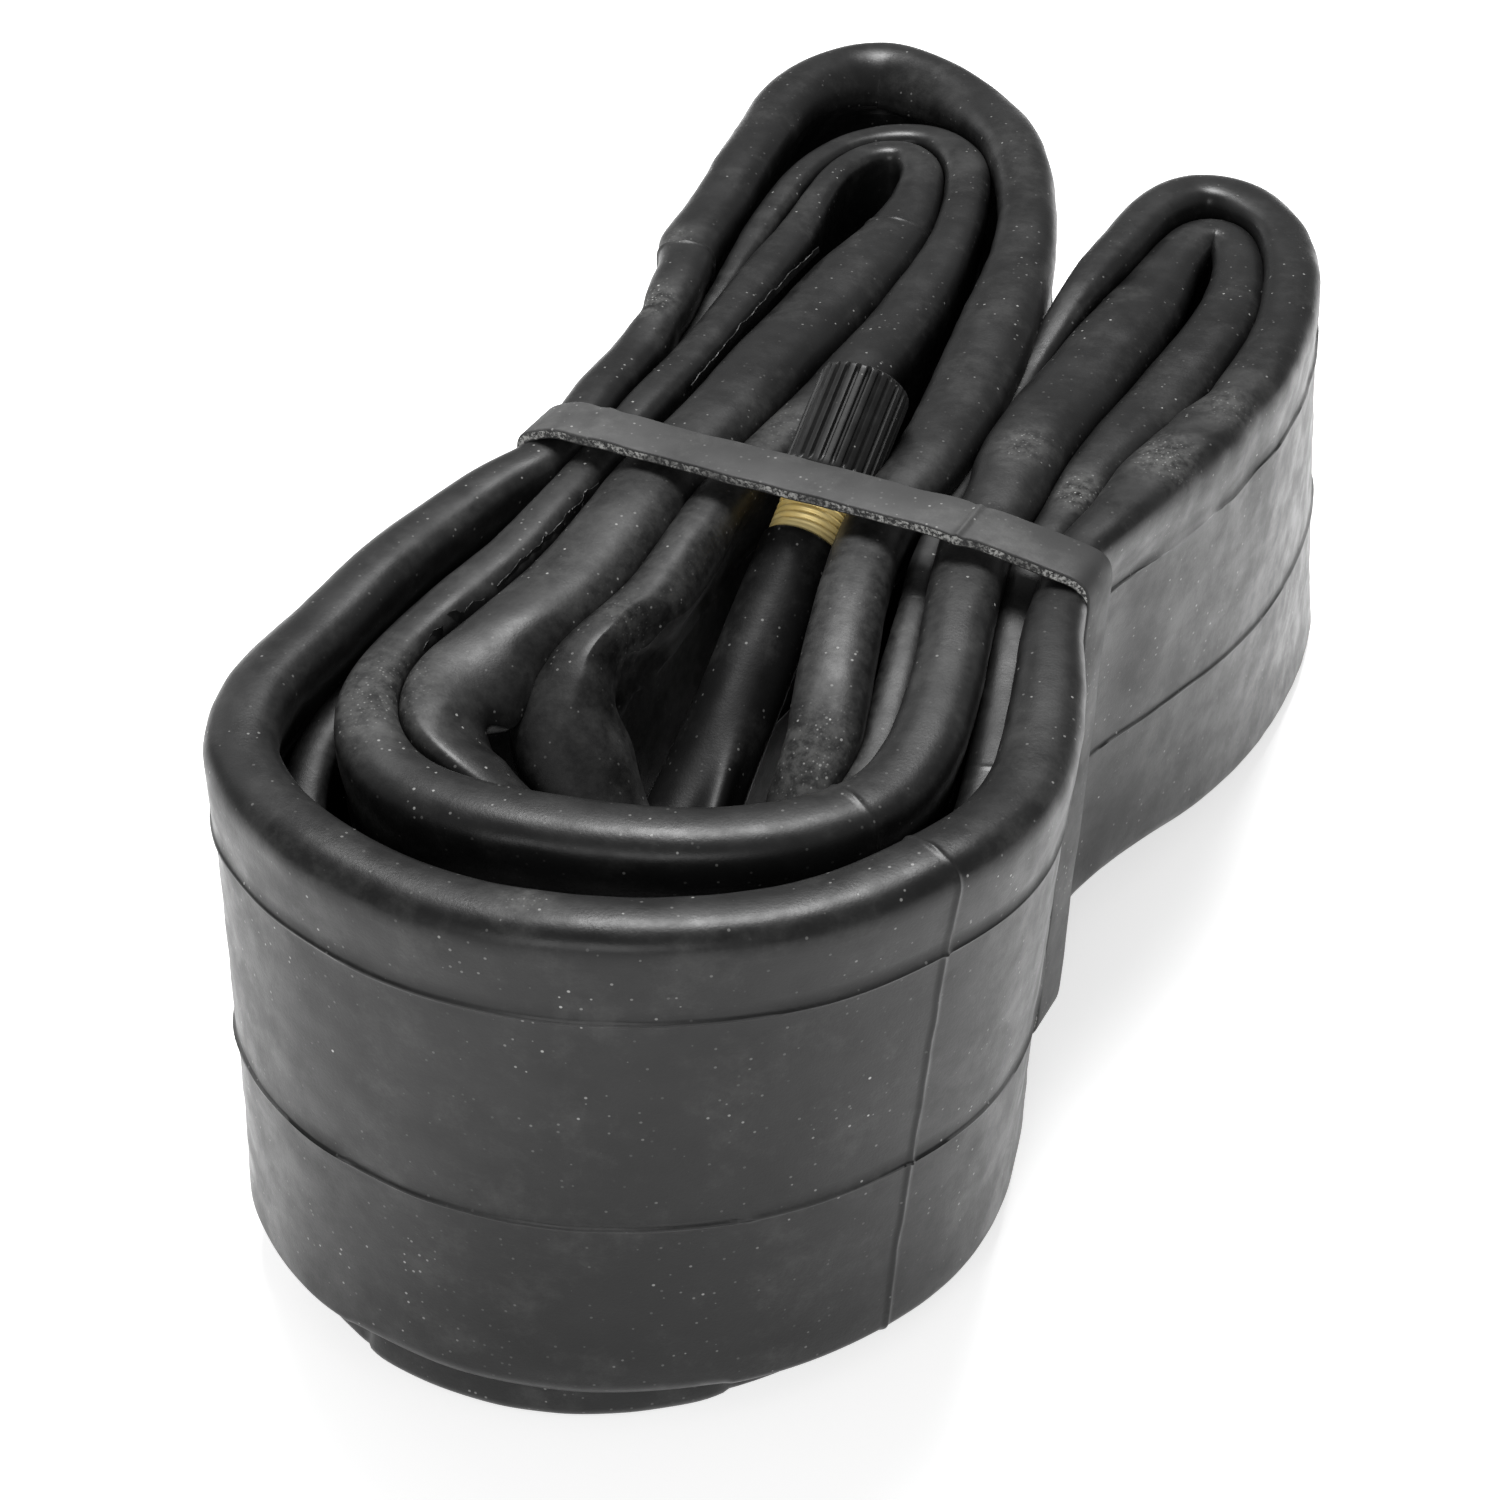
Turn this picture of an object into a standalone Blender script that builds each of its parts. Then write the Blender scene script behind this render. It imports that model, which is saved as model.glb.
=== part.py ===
"""Bicycle inner tube, folded flat into a bundle and held by a rubber band.

Millimetres are used for the driving sizes and MM turns them into metres.
The bundle's long axis is +Y, its right side is +X and it stands on z = 0.
The tube is one closed loop that crosses the waist ten times, so it makes five
folds in front of the band and five behind it. Its route is drawn from the
waist, and ORIGIN moves the finished parts to the middle of the bundle's box.
"""
import math

import bmesh
import bpy
from mathutils import Matrix, Vector

MM = 0.001
COLLECTION = "folded_inner_tube"
ORIGIN = Vector((2.25, 17.95, 0.0))   # middle of the bundle, seen from its waist

# ---- tube, pressed flat and stood on edge ---------------------------------
TUBE_THICK = 3.6          # both walls together, at a folded edge
WEB_THICK = 2.4           # both walls together, half way up
EDGE_ROUND = 1.3          # height of the slope that rounds each folded edge
EDGE_FLAT = 0.45          # flat share of a folded edge's thickness
WAIST_TOP = 63.4          # height of the strip's upper edge under the band
WAIST_BOTTOM = 2.6        # height of its lower edge over the band
WAIST_PINCH = 0.94        # the bundle is this much narrower at its foot
WAIST_REACH = 9.0         # the waist keeps its height this far either side of the band
FULL_HEIGHT_AT = 0.72     # share of a fold's reach where it stands at its own height
STEP_TURN = 14.0          # degrees of bend between two cross-sections
STEP_LONG = 13.0          # longest distance between two cross-sections

# ---- rubber band ------------------------------------------------------------
BAND_THICK = 1.2
BAND_WIDE = 6.2
BAND_LEFT = -29.5
BAND_RIGHT = 34.7
BAND_TOP = 64.4           # centre of the band's thickness
BAND_BOTTOM = 1.2
BAND_LEFT_FOOT = -28.1     # the sides lean in towards the foot
BAND_RIGHT_FOOT = 32.9
BAND_TURN = -7.0          # degrees about +Z
BAND_Y = -1.5
BAND_CORNER = 3.0

# ---- valve --------------------------------------------------------------------
VALVE_END = Vector((2.0, -1.8, 57.5))   # where the rubber cover stops
VALVE_LIFT = 28.0         # degrees the stem rises towards the back
VALVE_SWING = 3.0         # degrees it turns towards +X
ROOT_S = -29.0            # the stem's root, measured along the stem
TIP_S = 18.0              # the brass mouth
THREAD_R = 3.85           # 8V1 cap thread, 7.7 mm over the crests
THREAD_DEPTH = 0.42
THREAD_PITCH = 0.794      # 32 threads to the inch
THREAD_FIRST_S = 0.9
RUBBER_R = 4.25
RUBBER_BORE = 3.30
SHANK_R = 3.00
BORE_R = 1.70
SOCKET_R = 2.70
SOCKET_S = 12.0

CAP_MOUTH_S = 7.0
CAP_END_S = 20.0
CAP_R = 5.0
CAP_BORE = 4.15
CAP_ROOF = 1.2
CAP_RIBS = 14
GROOVE_R = 0.62           # the round grooves between the ribs
GROOVE_AT_R = 5.20

PLUG_R = 2.45
PLUG_S = (14.2, 17.4)
BARREL_R = 1.40
BARREL_BORE = 1.05
BARREL_S = (4.0, 13.9)
PIN_R = 0.40
PIN_S = (0.6, 17.7)
CUP_R = 1.25
CUP_S = (1.2, 2.9)
SEAT_S = (3.0, 3.7)
GASKET_S = (12.2, 13.6)
SPRING_S = (5.2, 9.6)
SPRING_R = 0.72
SPRING_WIRE = 0.11
SPRING_TURNS = 5


class Fold:
    """One end fold: the plan of the strip's upper edge and how it stands.

    A plan point is x and y, and may add the upper edge's own height there.
    """

    def __init__(self, top, bottom, lean, plan, foot_width=1.0):
        self.top = top
        self.bottom = bottom
        self.lean = lean
        self.plan = plan
        self.foot_width = foot_width
        self.middle = 0.5 * (plan[0][0] + plan[-1][0])
        self.reach = max(abs(p[1]) for p in plan)


# The route, in the order the tube runs. Each fold starts and ends at the waist.
OUTER_FRONT = Fold(64.0, 2.4, (-3.2, -0.6), [
    (-26.0, 0), (-29.5, -8), (-32.5, -16), (-34.0, -25), (-34.5, -38),
    (-35.5, -49), (-32.0, -59), (-22.5, -67), (-12.0, -70.7), (-1.0, -71.7),
    (10.0, -69.8), (20.5, -64.5), (28.5, -57), (34.5, -47), (36.2, -37),
    (34.6, -25), (31.6, -12), (30.6, 0)])
RIGHT_BACK = Fold(64.0, 2.0, (1.0, 18.0), [
    (30.6, 0), (34.0, 10), (38.3, 24), (41.3, 38), (41.5, 50), (39.0, 61),
    (34.0, 71), (28.0, 75.5), (22.6, 70), (19.8, 58), (18.4, 45),
    (18.2, 30), (17.2, 14), (16.0, 0)])
SECOND_INNER_FRONT = Fold(57.5, 0.0, (-2.0, 4.0), [
    (16.0, 0), (17.5, -10), (19.0, -22), (20.0, -34), (18.5, -41.5),
    (13.0, -47.5), (5.0, -51), (-4.0, -52), (-13.0, -50.5), (-18.5, -45),
    (-18.5, -38), (-16.5, -28), (-14.5, -18), (-12.5, -8), (-11.5, 0)])
LEFT_BACK_INNER = Fold(62.0, 0.0, (0.0, 5.0), [
    (-11.5, 0), (-10.3, 15), (-9.3, 30), (-8.3, 50), (-8.8, 65),
    (-10.6, 74), (-14.0, 77.5), (-17.4, 73), (-18.4, 60), (-17.6, 40),
    (-17.0, 20), (-17.0, 0)])
SECOND_FRONT = Fold(62.5, 0.0, (-2.0, 0.0), [
    (-17.0, 0), (-19.0, -8), (-21.5, -18), (-24.0, -28), (-25.3, -38),
    (-24.0, -47), (-19.0, -54), (-11.0, -57.3), (0.0, -57), (10.0, -54.5),
    (18.0, -50), (23.5, -43.5), (25.2, -35), (24.3, -24), (22.2, -12),
    (20.8, 0)])
RIGHT_BACK_INNER = Fold(62.0, 0.0, (1.0, 17.0), [
    (20.8, 0), (22.2, 14), (23.0, 30), (24.2, 44), (26.6, 56), (30.4, 62),
    (33.8, 57), (34.6, 47), (33.4, 36), (30.6, 24), (27.8, 12), (25.8, 0)])
OUTER_FRONT_INNER = Fold(59.0, 0.0, (-3.0, -0.4), [
    (25.8, 0), (27.0, -12), (30.0, -25), (31.5, -37), (30.0, -45),
    (25.0, -53.5), (18.0, -60), (9.0, -65), (-1.0, -67), (-11.0, -66),
    (-20.0, -62.5), (-28.0, -56), (-31.0, -48), (-30.0, -38),
    (-29.5, -26), (-28.0, -17), (-25.0, -9), (-21.5, 0)])
LEFT_BACK_MIDDLE = Fold(62.0, 0.0, (0.0, 6.0), [
    (-21.5, 0), (-21.6, 20), (-22.4, 40), (-23.6, 60), (-23.8, 74),
    (-20.6, 83), (-14.5, 86.5), (-7.5, 82.5), (-2.6, 74), (-0.2, 60),
    (0.4, 45), (-1.4, 29), (-4.2, 16), (-5.2, 0)])
VALVE_FRONT = Fold(50.0, 7.0, (0.0, 26.7), [
    (-5.2, 0), (-5.8, -10, 62.0), (-7.4, -18, 60.5), (-9.0, -25, 57.0),
    (-9.6, -31.0, 53.0), (-7.0, -35.8, 50.0), (-1.0, -37.2, 49.0), (5.0, -37.8, 49.0),
    (9.8, -39.2, 51.0), (13.2, -38.8, 54.5), (14.6, -34, 59.0), (14.4, -26, 61.5),
    (13.2, -14, 63.0), (11.0, 0)], foot_width=0.72)
LEFT_BACK = Fold(64.0, 1.2, (0.0, 6.0), [
    (11.0, 0), (12.4, 20), (12.0, 40), (10.0, 58), (6.0, 73), (0.0, 86),
    (-8.0, 96), (-16.0, 102), (-24.0, 100.5), (-30.0, 92), (-32.0, 78),
    (-31.0, 60), (-29.0, 42), (-27.0, 28), (-26.0, 14), (-26.0, 0)])
ROUTE = [OUTER_FRONT, RIGHT_BACK, SECOND_INNER_FRONT, LEFT_BACK_INNER,
         SECOND_FRONT, RIGHT_BACK_INNER, OUTER_FRONT_INNER,
         LEFT_BACK_MIDDLE, VALVE_FRONT, LEFT_BACK]


# ---- scene helpers -------------------------------------------------------------
def start_empty():
    for obj in list(bpy.data.objects):
        bpy.data.objects.remove(obj, do_unlink=True)
    parts = bpy.data.collections.new(COLLECTION)
    cutters = bpy.data.collections.new("cutters")
    bpy.context.scene.collection.children.link(parts)
    bpy.context.scene.collection.children.link(cutters)
    return parts, cutters


def material(name, color, metallic=0.0, roughness=0.6):
    mat = bpy.data.materials.new(name)
    mat.use_nodes = True
    shader = mat.node_tree.nodes["Principled BSDF"]
    shader.inputs["Base Color"].default_value = (*color, 1.0)
    shader.inputs["Metallic"].default_value = metallic
    shader.inputs["Roughness"].default_value = roughness
    mat.diffuse_color = (*color, 1.0)
    return mat


def make_object(name, bm, mat, collection):
    bmesh.ops.recalc_face_normals(bm, faces=bm.faces)
    mesh = bpy.data.meshes.new(name)
    bm.to_mesh(mesh)
    bm.free()
    mesh.materials.append(mat)
    obj = bpy.data.objects.new(name, mesh)
    collection.objects.link(obj)
    return obj


def valve_axis():
    lift = math.radians(VALVE_LIFT)
    swing = math.radians(VALVE_SWING)
    flat = math.cos(lift)
    return Vector((math.sin(swing) * flat, math.cos(swing) * flat, math.sin(lift)))


def valve_frame():
    """Local +Z runs out along the stem, local z = 0 is the rubber's end."""
    turn = Vector((0, 0, 1)).rotation_difference(valve_axis())
    return Matrix.Translation((VALVE_END - ORIGIN) * MM) @ turn.to_matrix().to_4x4()


# ---- the flattened tube -----------------------------------------------------------
def ease(value):
    value = min(1.0, max(0.0, value))
    return value * value * (3.0 - 2.0 * value)


def edge_rails(fold, x, y, own_top=None):
    """Upper and lower edge of the strip for one point of a fold's plan."""
    share = ease((abs(y) - WAIST_REACH) / (FULL_HEIGHT_AT * fold.reach - WAIST_REACH))
    tilt = abs(y) / fold.reach
    top = own_top or WAIST_TOP + (fold.top - WAIST_TOP) * share
    bottom = WAIST_BOTTOM + (fold.bottom - WAIST_BOTTOM) * share
    pinched = x * WAIST_PINCH
    spread = fold.middle + (x - fold.middle) * fold.foot_width + fold.lean[0]
    foot_x = pinched + (spread - pinched) * tilt
    return Vector((x, y, top)), Vector((foot_x, y + fold.lean[1] * tilt, bottom))


def spline(p0, p1, p2, p3, t):
    """Catmull-Rom curve through p1 and p2."""
    a = 2.0 * p1
    b = p2 - p0
    c = 2.0 * p0 - 5.0 * p1 + 4.0 * p2 - p3
    d = 3.0 * p1 - p0 - 3.0 * p2 + p3
    return 0.5 * (a + b * t + c * t * t + d * t * t * t)


def route_stations():
    """Closed list of (upper edge, lower edge) pairs along the whole tube."""
    pairs = []
    for fold in ROUTE:
        for point in fold.plan[:-1]:
            pairs.append(edge_rails(fold, *point))
    count = len(pairs)
    stations = []
    for i in range(count):
        near = [pairs[(i + k - 1) % count] for k in range(4)]
        before = (near[1][0] - near[0][0]).xy
        here = (near[2][0] - near[1][0]).xy
        after = (near[3][0] - near[2][0]).xy
        bend = 0.5 * (abs(before.angle_signed(here)) + abs(here.angle_signed(after)))
        by_turn = math.degrees(bend) / STEP_TURN
        by_length = here.length / STEP_LONG
        steps = max(1, math.ceil(max(by_turn, by_length) - 0.2))
        for k in range(steps):
            t = k / steps
            top = spline(near[0][0], near[1][0], near[2][0], near[3][0], t)
            foot = spline(near[0][1], near[1][1], near[2][1], near[3][1], t)
            foot.z = max(foot.z, 0.0)
            stations.append((top, foot))
    return stations


def strip_section(top, foot, side_top, side_foot):
    """Ten corners of the pinched strip, seen along the tube."""
    half = 0.5 * TUBE_THICK
    web = 0.5 * WEB_THICK
    edge = EDGE_ROUND / (top.z - foot.z)
    rows = [(0.0, EDGE_FLAT * half), (edge, half), (0.5, web), (1.0 - edge, half), (1.0, EDGE_FLAT * half)]
    left = []
    right = []
    for level, reach in rows:
        middle = foot.lerp(top, level)
        side = side_foot.lerp(side_top, level).normalized()
        left.append(middle - side * reach)
        right.append(middle + side * reach)
    return left + right[::-1]


def build_tube(mat, collection):
    stations = route_stations()
    count = len(stations)
    bm = bmesh.new()
    rings = []
    for i, (top, foot) in enumerate(stations):
        ahead = stations[(i + 1) % count]
        behind = stations[i - 1]
        along_top = (ahead[0] - behind[0]).xy.normalized()
        along_foot = (ahead[1] - behind[1]).xy.normalized()
        side_top = Vector((-along_top.y, along_top.x, 0.0))
        side_foot = Vector((-along_foot.y, along_foot.x, 0.0))
        corners = strip_section(top, foot, side_top, side_foot)
        rings.append([bm.verts.new((corner - ORIGIN) * MM) for corner in corners])
    for i in range(count):
        ring = rings[i]
        following = rings[(i + 1) % count]
        for k in range(len(ring)):
            m = (k + 1) % len(ring)
            bm.faces.new((ring[k], ring[m], following[m], following[k]))
    bmesh.ops.triangulate(bm, faces=bm.faces, quad_method="SHORT_EDGE")
    return make_object("inner_tube", bm, mat, collection)


# ---- the rubber band -------------------------------------------------------------
def band_centre_line():
    """Rounded four-sided loop in the X-Z plane."""
    corners = [(BAND_LEFT_FOOT, BAND_BOTTOM), (BAND_RIGHT_FOOT, BAND_BOTTOM),
               (BAND_RIGHT, BAND_TOP), (BAND_LEFT, BAND_TOP)]
    corners = [Vector(c) for c in corners]
    line = []
    for i, corner in enumerate(corners):
        back = (corners[i - 1] - corner).normalized()
        on = (corners[(i + 1) % 4] - corner).normalized()
        half_angle = 0.5 * back.angle(on)
        trim = BAND_CORNER / math.tan(half_angle)
        centre = corner + (back + on).normalized() * BAND_CORNER / math.sin(half_angle)
        start = corner + back * trim - centre
        stop = corner + on * trim - centre
        sweep = start.angle(stop)
        for k in range(6):
            blend = k / 5
            a = math.sin((1 - blend) * sweep) / math.sin(sweep)
            b = math.sin(blend * sweep) / math.sin(sweep)
            line.append(centre + start * a + stop * b)
    return line


def build_band(mat, collection):
    """An open strip round the waist, thickened by Solidify."""
    bm = bmesh.new()
    line = band_centre_line()
    verts = [bm.verts.new(Vector((p.x, -0.5 * BAND_WIDE, p.y)) * MM) for p in line]
    edges = [bm.edges.new((verts[i - 1], verts[i])) for i in range(len(verts))]
    swept = bmesh.ops.extrude_edge_only(bm, edges=edges)["geom"]
    far = [v for v in swept if isinstance(v, bmesh.types.BMVert)]
    bmesh.ops.translate(bm, verts=far, vec=Vector((0, BAND_WIDE, 0)) * MM)
    band = make_object("rubber_band", bm, mat, collection)
    band.location = (Vector((0, BAND_Y, 0)) - ORIGIN) * MM
    band.rotation_euler.z = math.radians(BAND_TURN)
    thick = band.modifiers.new("thickness", "SOLIDIFY")
    thick.thickness = BAND_THICK * MM
    thick.offset = 0.0
    return band


# ---- turned parts of the valve ------------------------------------------------------
def turned(name, outline, steps, mat, collection, closed=True):
    """A Screw round the stem; the outline of (radius, s) points goes up its outer side.

    A closed outline makes a ring. An open one starts and ends on the axis.
    """
    bm = bmesh.new()
    verts = [bm.verts.new(Vector((radius, 0, s)) * MM) for radius, s in reversed(outline)]
    for i in range(0 if closed else 1, len(verts)):
        bm.edges.new((verts[i - 1], verts[i]))
    obj = make_object(name, bm, mat, collection)
    obj.matrix_world = valve_frame()
    screw = obj.modifiers.new("turn", "SCREW")
    screw.steps = steps
    screw.render_steps = steps
    screw.use_merge_vertices = True
    screw.merge_threshold = 1e-6
    return obj


def brass_outline():
    groove = THREAD_R - THREAD_DEPTH
    outline = [(BORE_R, ROOT_S + 0.3), (SHANK_R, ROOT_S + 0.3), (SHANK_R, 0.3), (groove, 0.3)]
    s = THREAD_FIRST_S
    while s < TIP_S - 1.2:
        outline.append((groove, s))
        outline.append((THREAD_R, s + 0.5 * THREAD_PITCH))
        s += THREAD_PITCH
    outline += [(groove, s), (groove, TIP_S), (SOCKET_R, TIP_S), (SOCKET_R, SOCKET_S + 1.6), (BORE_R, SOCKET_S)]
    return outline


def build_cap(mat, collection, cutters):
    """A turned cup with round grooves cut along its side."""
    roof = CAP_END_S - CAP_ROOF
    cap = turned("dust_cap", [(0, roof), (CAP_BORE, roof), (CAP_BORE, CAP_MOUTH_S), (CAP_R - 0.4, CAP_MOUTH_S),
                              (CAP_R, CAP_MOUTH_S + 0.5), (CAP_R, CAP_END_S - 1.2), (CAP_R - 1.0, CAP_END_S),
                              (0, CAP_END_S)], CAP_RIBS * 4, mat, collection, closed=False)
    bm = bmesh.new()
    low = CAP_MOUTH_S + 1.2
    high = CAP_END_S + 1.0
    for i in range(CAP_RIBS):
        angle = 2.0 * math.pi * (i + 0.25) / CAP_RIBS
        centre = Vector((GROOVE_AT_R * math.cos(angle), GROOVE_AT_R * math.sin(angle), 0.5 * (low + high)))
        bmesh.ops.create_cone(bm, cap_ends=True, segments=8, radius1=GROOVE_R * MM, radius2=GROOVE_R * MM,
                              depth=(high - low) * MM, matrix=Matrix.Translation(centre * MM))
    grooves = make_object("cap_grooves", bm, mat, cutters)
    grooves.matrix_world = valve_frame()
    grooves.hide_render = True
    grooves.display_type = "WIRE"
    cut = cap.modifiers.new("grooves", "BOOLEAN")
    cut.operation = "DIFFERENCE"
    cut.object = grooves
    return cap


def build_spring(mat, collection):
    """A helix of round wire about the pin."""
    around = 12
    count = SPRING_TURNS * around + 1
    curve = bpy.data.curves.new("core_spring", "CURVE")
    curve.dimensions = "3D"
    curve.bevel_depth = SPRING_WIRE * MM
    curve.bevel_resolution = 1
    curve.use_fill_caps = True
    curve.materials.append(mat)
    wire = curve.splines.new("POLY")
    wire.points.add(count - 1)
    for i, point in enumerate(wire.points):
        angle = 2.0 * math.pi * i / around
        s = SPRING_S[0] + (SPRING_S[1] - SPRING_S[0]) * i / (count - 1)
        point.co = (SPRING_R * math.cos(angle) * MM, SPRING_R * math.sin(angle) * MM, s * MM, 1.0)
    obj = bpy.data.objects.new("core_spring", curve)
    collection.objects.link(obj)
    obj.matrix_world = valve_frame()
    return obj


def build_valve(mats, collection, cutters):
    root = ROOT_S
    turned("valve_base_patch", [(3.6, root - 1.2), (6.2, root - 1.2), (6.4, root - 0.8), (6.2, root - 0.3),
                                (3.6, root - 0.3)], 24, mats["rubber"], collection)
    turned("valve_stem_rubber", [(RUBBER_BORE, root), (5.6, root), (5.0, root + 1.2), (4.5, root + 3.4),
                                 (RUBBER_R, root + 8.0), (RUBBER_R, -0.4), (RUBBER_R - 0.3, 0.0),
                                 (RUBBER_BORE, 0.0)], 28, mats["rubber"], collection)
    turned("valve_stem_brass", brass_outline(), 20, mats["brass"], collection)
    turned("core_plug", [(0.75, PLUG_S[0]), (PLUG_R - 0.5, PLUG_S[0]), (PLUG_R, PLUG_S[0] + 0.5),
                         (PLUG_R, PLUG_S[1] - 0.6), (1.5, PLUG_S[1]), (0.75, PLUG_S[1])],
           20, mats["brass"], collection)
    turned("core_barrel", [(0.70, BARREL_S[0]), (BARREL_R, BARREL_S[0]), (BARREL_R, GASKET_S[0] - 0.2),
                           (1.25, GASKET_S[0] - 0.2), (1.25, GASKET_S[1] + 0.15), (1.6, GASKET_S[1] + 0.2),
                           (1.6, BARREL_S[1]), (0.75, BARREL_S[1]), (0.75, 11.6), (BARREL_BORE, 11.4),
                           (BARREL_BORE, 5.0), (0.70, 4.8)],
           20, mats["brass"], collection)
    turned("core_gasket", [(1.30, GASKET_S[0]), (1.55, GASKET_S[0]), (2.15, GASKET_S[1] - 0.2),
                           (2.10, GASKET_S[1]), (1.30, GASKET_S[1])], 20, mats["gasket"], collection)
    turned("core_pin", [(0, PIN_S[0]), (PIN_R, PIN_S[0]), (PIN_R, 9.8), (0.85, 9.85), (0.85, 10.3),
                        (PIN_R, 10.35), (PIN_R, PIN_S[1] - 0.3), (0.25, PIN_S[1]), (0, PIN_S[1])],
           12, mats["brass"], collection, closed=False)
    turned("core_cup", [(PIN_R + 0.03, CUP_S[0]), (0.9, CUP_S[0]), (CUP_R, CUP_S[0] + 0.5), (CUP_R, CUP_S[1]),
                        (PIN_R + 0.03, CUP_S[1])], 20, mats["brass"], collection)
    turned("core_seat_washer", [(PIN_R + 0.03, SEAT_S[0]), (1.15, SEAT_S[0]), (1.15, SEAT_S[1]),
                                (PIN_R + 0.03, SEAT_S[1])], 20, mats["gasket"], collection)
    build_spring(mats["steel"], collection)
    build_cap(mats["plastic"], collection, cutters)
    turned("cap_washer", [(2.3, CAP_END_S - CAP_ROOF - 0.65), (3.9, CAP_END_S - CAP_ROOF - 0.65),
                          (3.9, CAP_END_S - CAP_ROOF - 0.05), (2.3, CAP_END_S - CAP_ROOF - 0.05)],
           24, mats["gasket"], collection)


def main():
    parts, cutters = start_empty()
    mats = {
        "rubber": material("black_rubber", (0.045, 0.045, 0.047), 0.0, 0.75),
        "band": material("band_rubber", (0.060, 0.060, 0.062), 0.0, 0.70),
        "brass": material("yellow_brass", (0.86, 0.64, 0.24), 1.0, 0.30),
        "steel": material("spring_steel", (0.55, 0.55, 0.56), 1.0, 0.30),
        "gasket": material("seal_rubber", (0.30, 0.06, 0.04), 0.0, 0.60),
        "plastic": material("black_plastic", (0.030, 0.030, 0.032), 0.0, 0.45),
    }
    build_tube(mats["rubber"], parts)
    build_band(mats["band"], parts)
    build_valve(mats, parts, cutters)


main()
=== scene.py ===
"""A folded bicycle inner tube in a rubber band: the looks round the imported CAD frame.

The tube's route, the band and the valve start from the CAD part's own sizes, and are given
in millimetres from the bundle's waist: x to the right, y to the back, z up. ORIGIN and MM
turn them into the frame's metres.
"""
import math

import bpy
import numpy as np
from mathutils import Matrix, Vector


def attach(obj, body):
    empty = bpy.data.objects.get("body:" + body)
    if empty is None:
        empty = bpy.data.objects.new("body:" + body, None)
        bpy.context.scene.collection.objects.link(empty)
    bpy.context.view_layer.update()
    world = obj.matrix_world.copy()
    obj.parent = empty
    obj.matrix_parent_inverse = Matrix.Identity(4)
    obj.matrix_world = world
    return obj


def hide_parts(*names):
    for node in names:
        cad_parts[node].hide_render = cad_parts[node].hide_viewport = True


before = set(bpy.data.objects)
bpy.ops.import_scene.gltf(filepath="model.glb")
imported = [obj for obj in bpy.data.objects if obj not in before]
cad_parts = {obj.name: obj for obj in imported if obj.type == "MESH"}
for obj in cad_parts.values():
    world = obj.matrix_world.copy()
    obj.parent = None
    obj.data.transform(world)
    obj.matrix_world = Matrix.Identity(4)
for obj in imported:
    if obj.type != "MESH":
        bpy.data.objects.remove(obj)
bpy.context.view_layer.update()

MM = 0.001
ORIGIN = np.array([2.25, 17.95, 0.0])

# ---- tube: sizes ------------------------------------------------------------
STATION = 0.8             # distance between cross-sections along the tube
WAIST_PINCH = 0.94        # the bundle's foot is this much narrower under the band
WAIST_REACH = 9.0
WAIST_FOOT = 2.6
FULL_HEIGHT_AT = 0.72
WEB = 1.15                # half thickness of the pressed walls
FLUSH = 0.84              # an outer wall's bulge, as a share of its folded edge's
RIM_FADE = 5.0            # how far a folded edge takes to thin down to the walls
RIM_SQUARE = 2.5          # exponent of the folded edge's rounding
RIM_HIGH = 0.80           # its height, as a share of its half width
GAP = 0.10                # left between two turns that lie against each other
RIDGES = (0.835, 0.405)   # mould lines, as shares of the strip's width
RIDGE_HIGH = 0.34
RIDGE_WIDE = 0.23
SWAY_POWER = 1.5          # how late along a fold the lower edge leaves the upper one
SHELTERED = 0.55          # share of the outer bulge left where a neighbour presses
BAND_LIFT = 4.0           # the strips at the right are raised this far under the band
BAND_PULL = 1.2           # and pulled in this far
BAND_SIDE = (18.0, 12.0)  # from this x on, over this distance
FAR = 99.0                # further than anything on the bundle
SUBSTEPS = 16             # curve samples between two plan points
SMOOTH_PLAN = 1.6         # smoothing of the plan and of the heights, along the route
SMOOTH_HEIGHT = 3.5
SAME_STRIP = 9.0          # points closer than this along the route aren't neighbours
LEVEL_WITH = 1.2          # a neighbour is beside a point if it's no further ahead than this
STEP_SHARE = 0.45         # a strip may reach this share of a step in height over its neighbour
STEP_MOST = 2.0
LEAST_ROOM = 0.9
LOW_EDGE = 0.92           # the lower edge's radius, as a share of the upper one's
LOW_HIGH = 0.9            # the lower edge's height, as a share of its radius
SLOPE_HIGH = 2.6          # a fully sloping edge is this much higher,
SLOPE_FADE = 4.1          # thins down to the walls this much faster
SLOPE_LIP = 0.30          # and has a lip this high where it meets the wall
BUMP_DEEP = 14.0          # how far down the walls a dent or swelling goes
SEAM_WIDE = 0.28

# Strips where they cross the waist: x, folded edge's radius, upper edge's height.
WAIST = {
    "a": (-26.4, 2.7, 63.8), "x": (-23.4, 1.2, 58.5), "b": (-21.6, 2.2, 63.2),
    "d": (-14.4, 4.8, 63.8), "e": (-6.8, 2.8, 62.8), "g": (9.7, 3.5, 63.6),
    "h": (15.2, 1.6, 60.0), "i": (20.3, 3.9, 63.6), "j": (26.2, 2.0, 61.5),
    "k": (30.7, 2.6, 63.4)}


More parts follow.
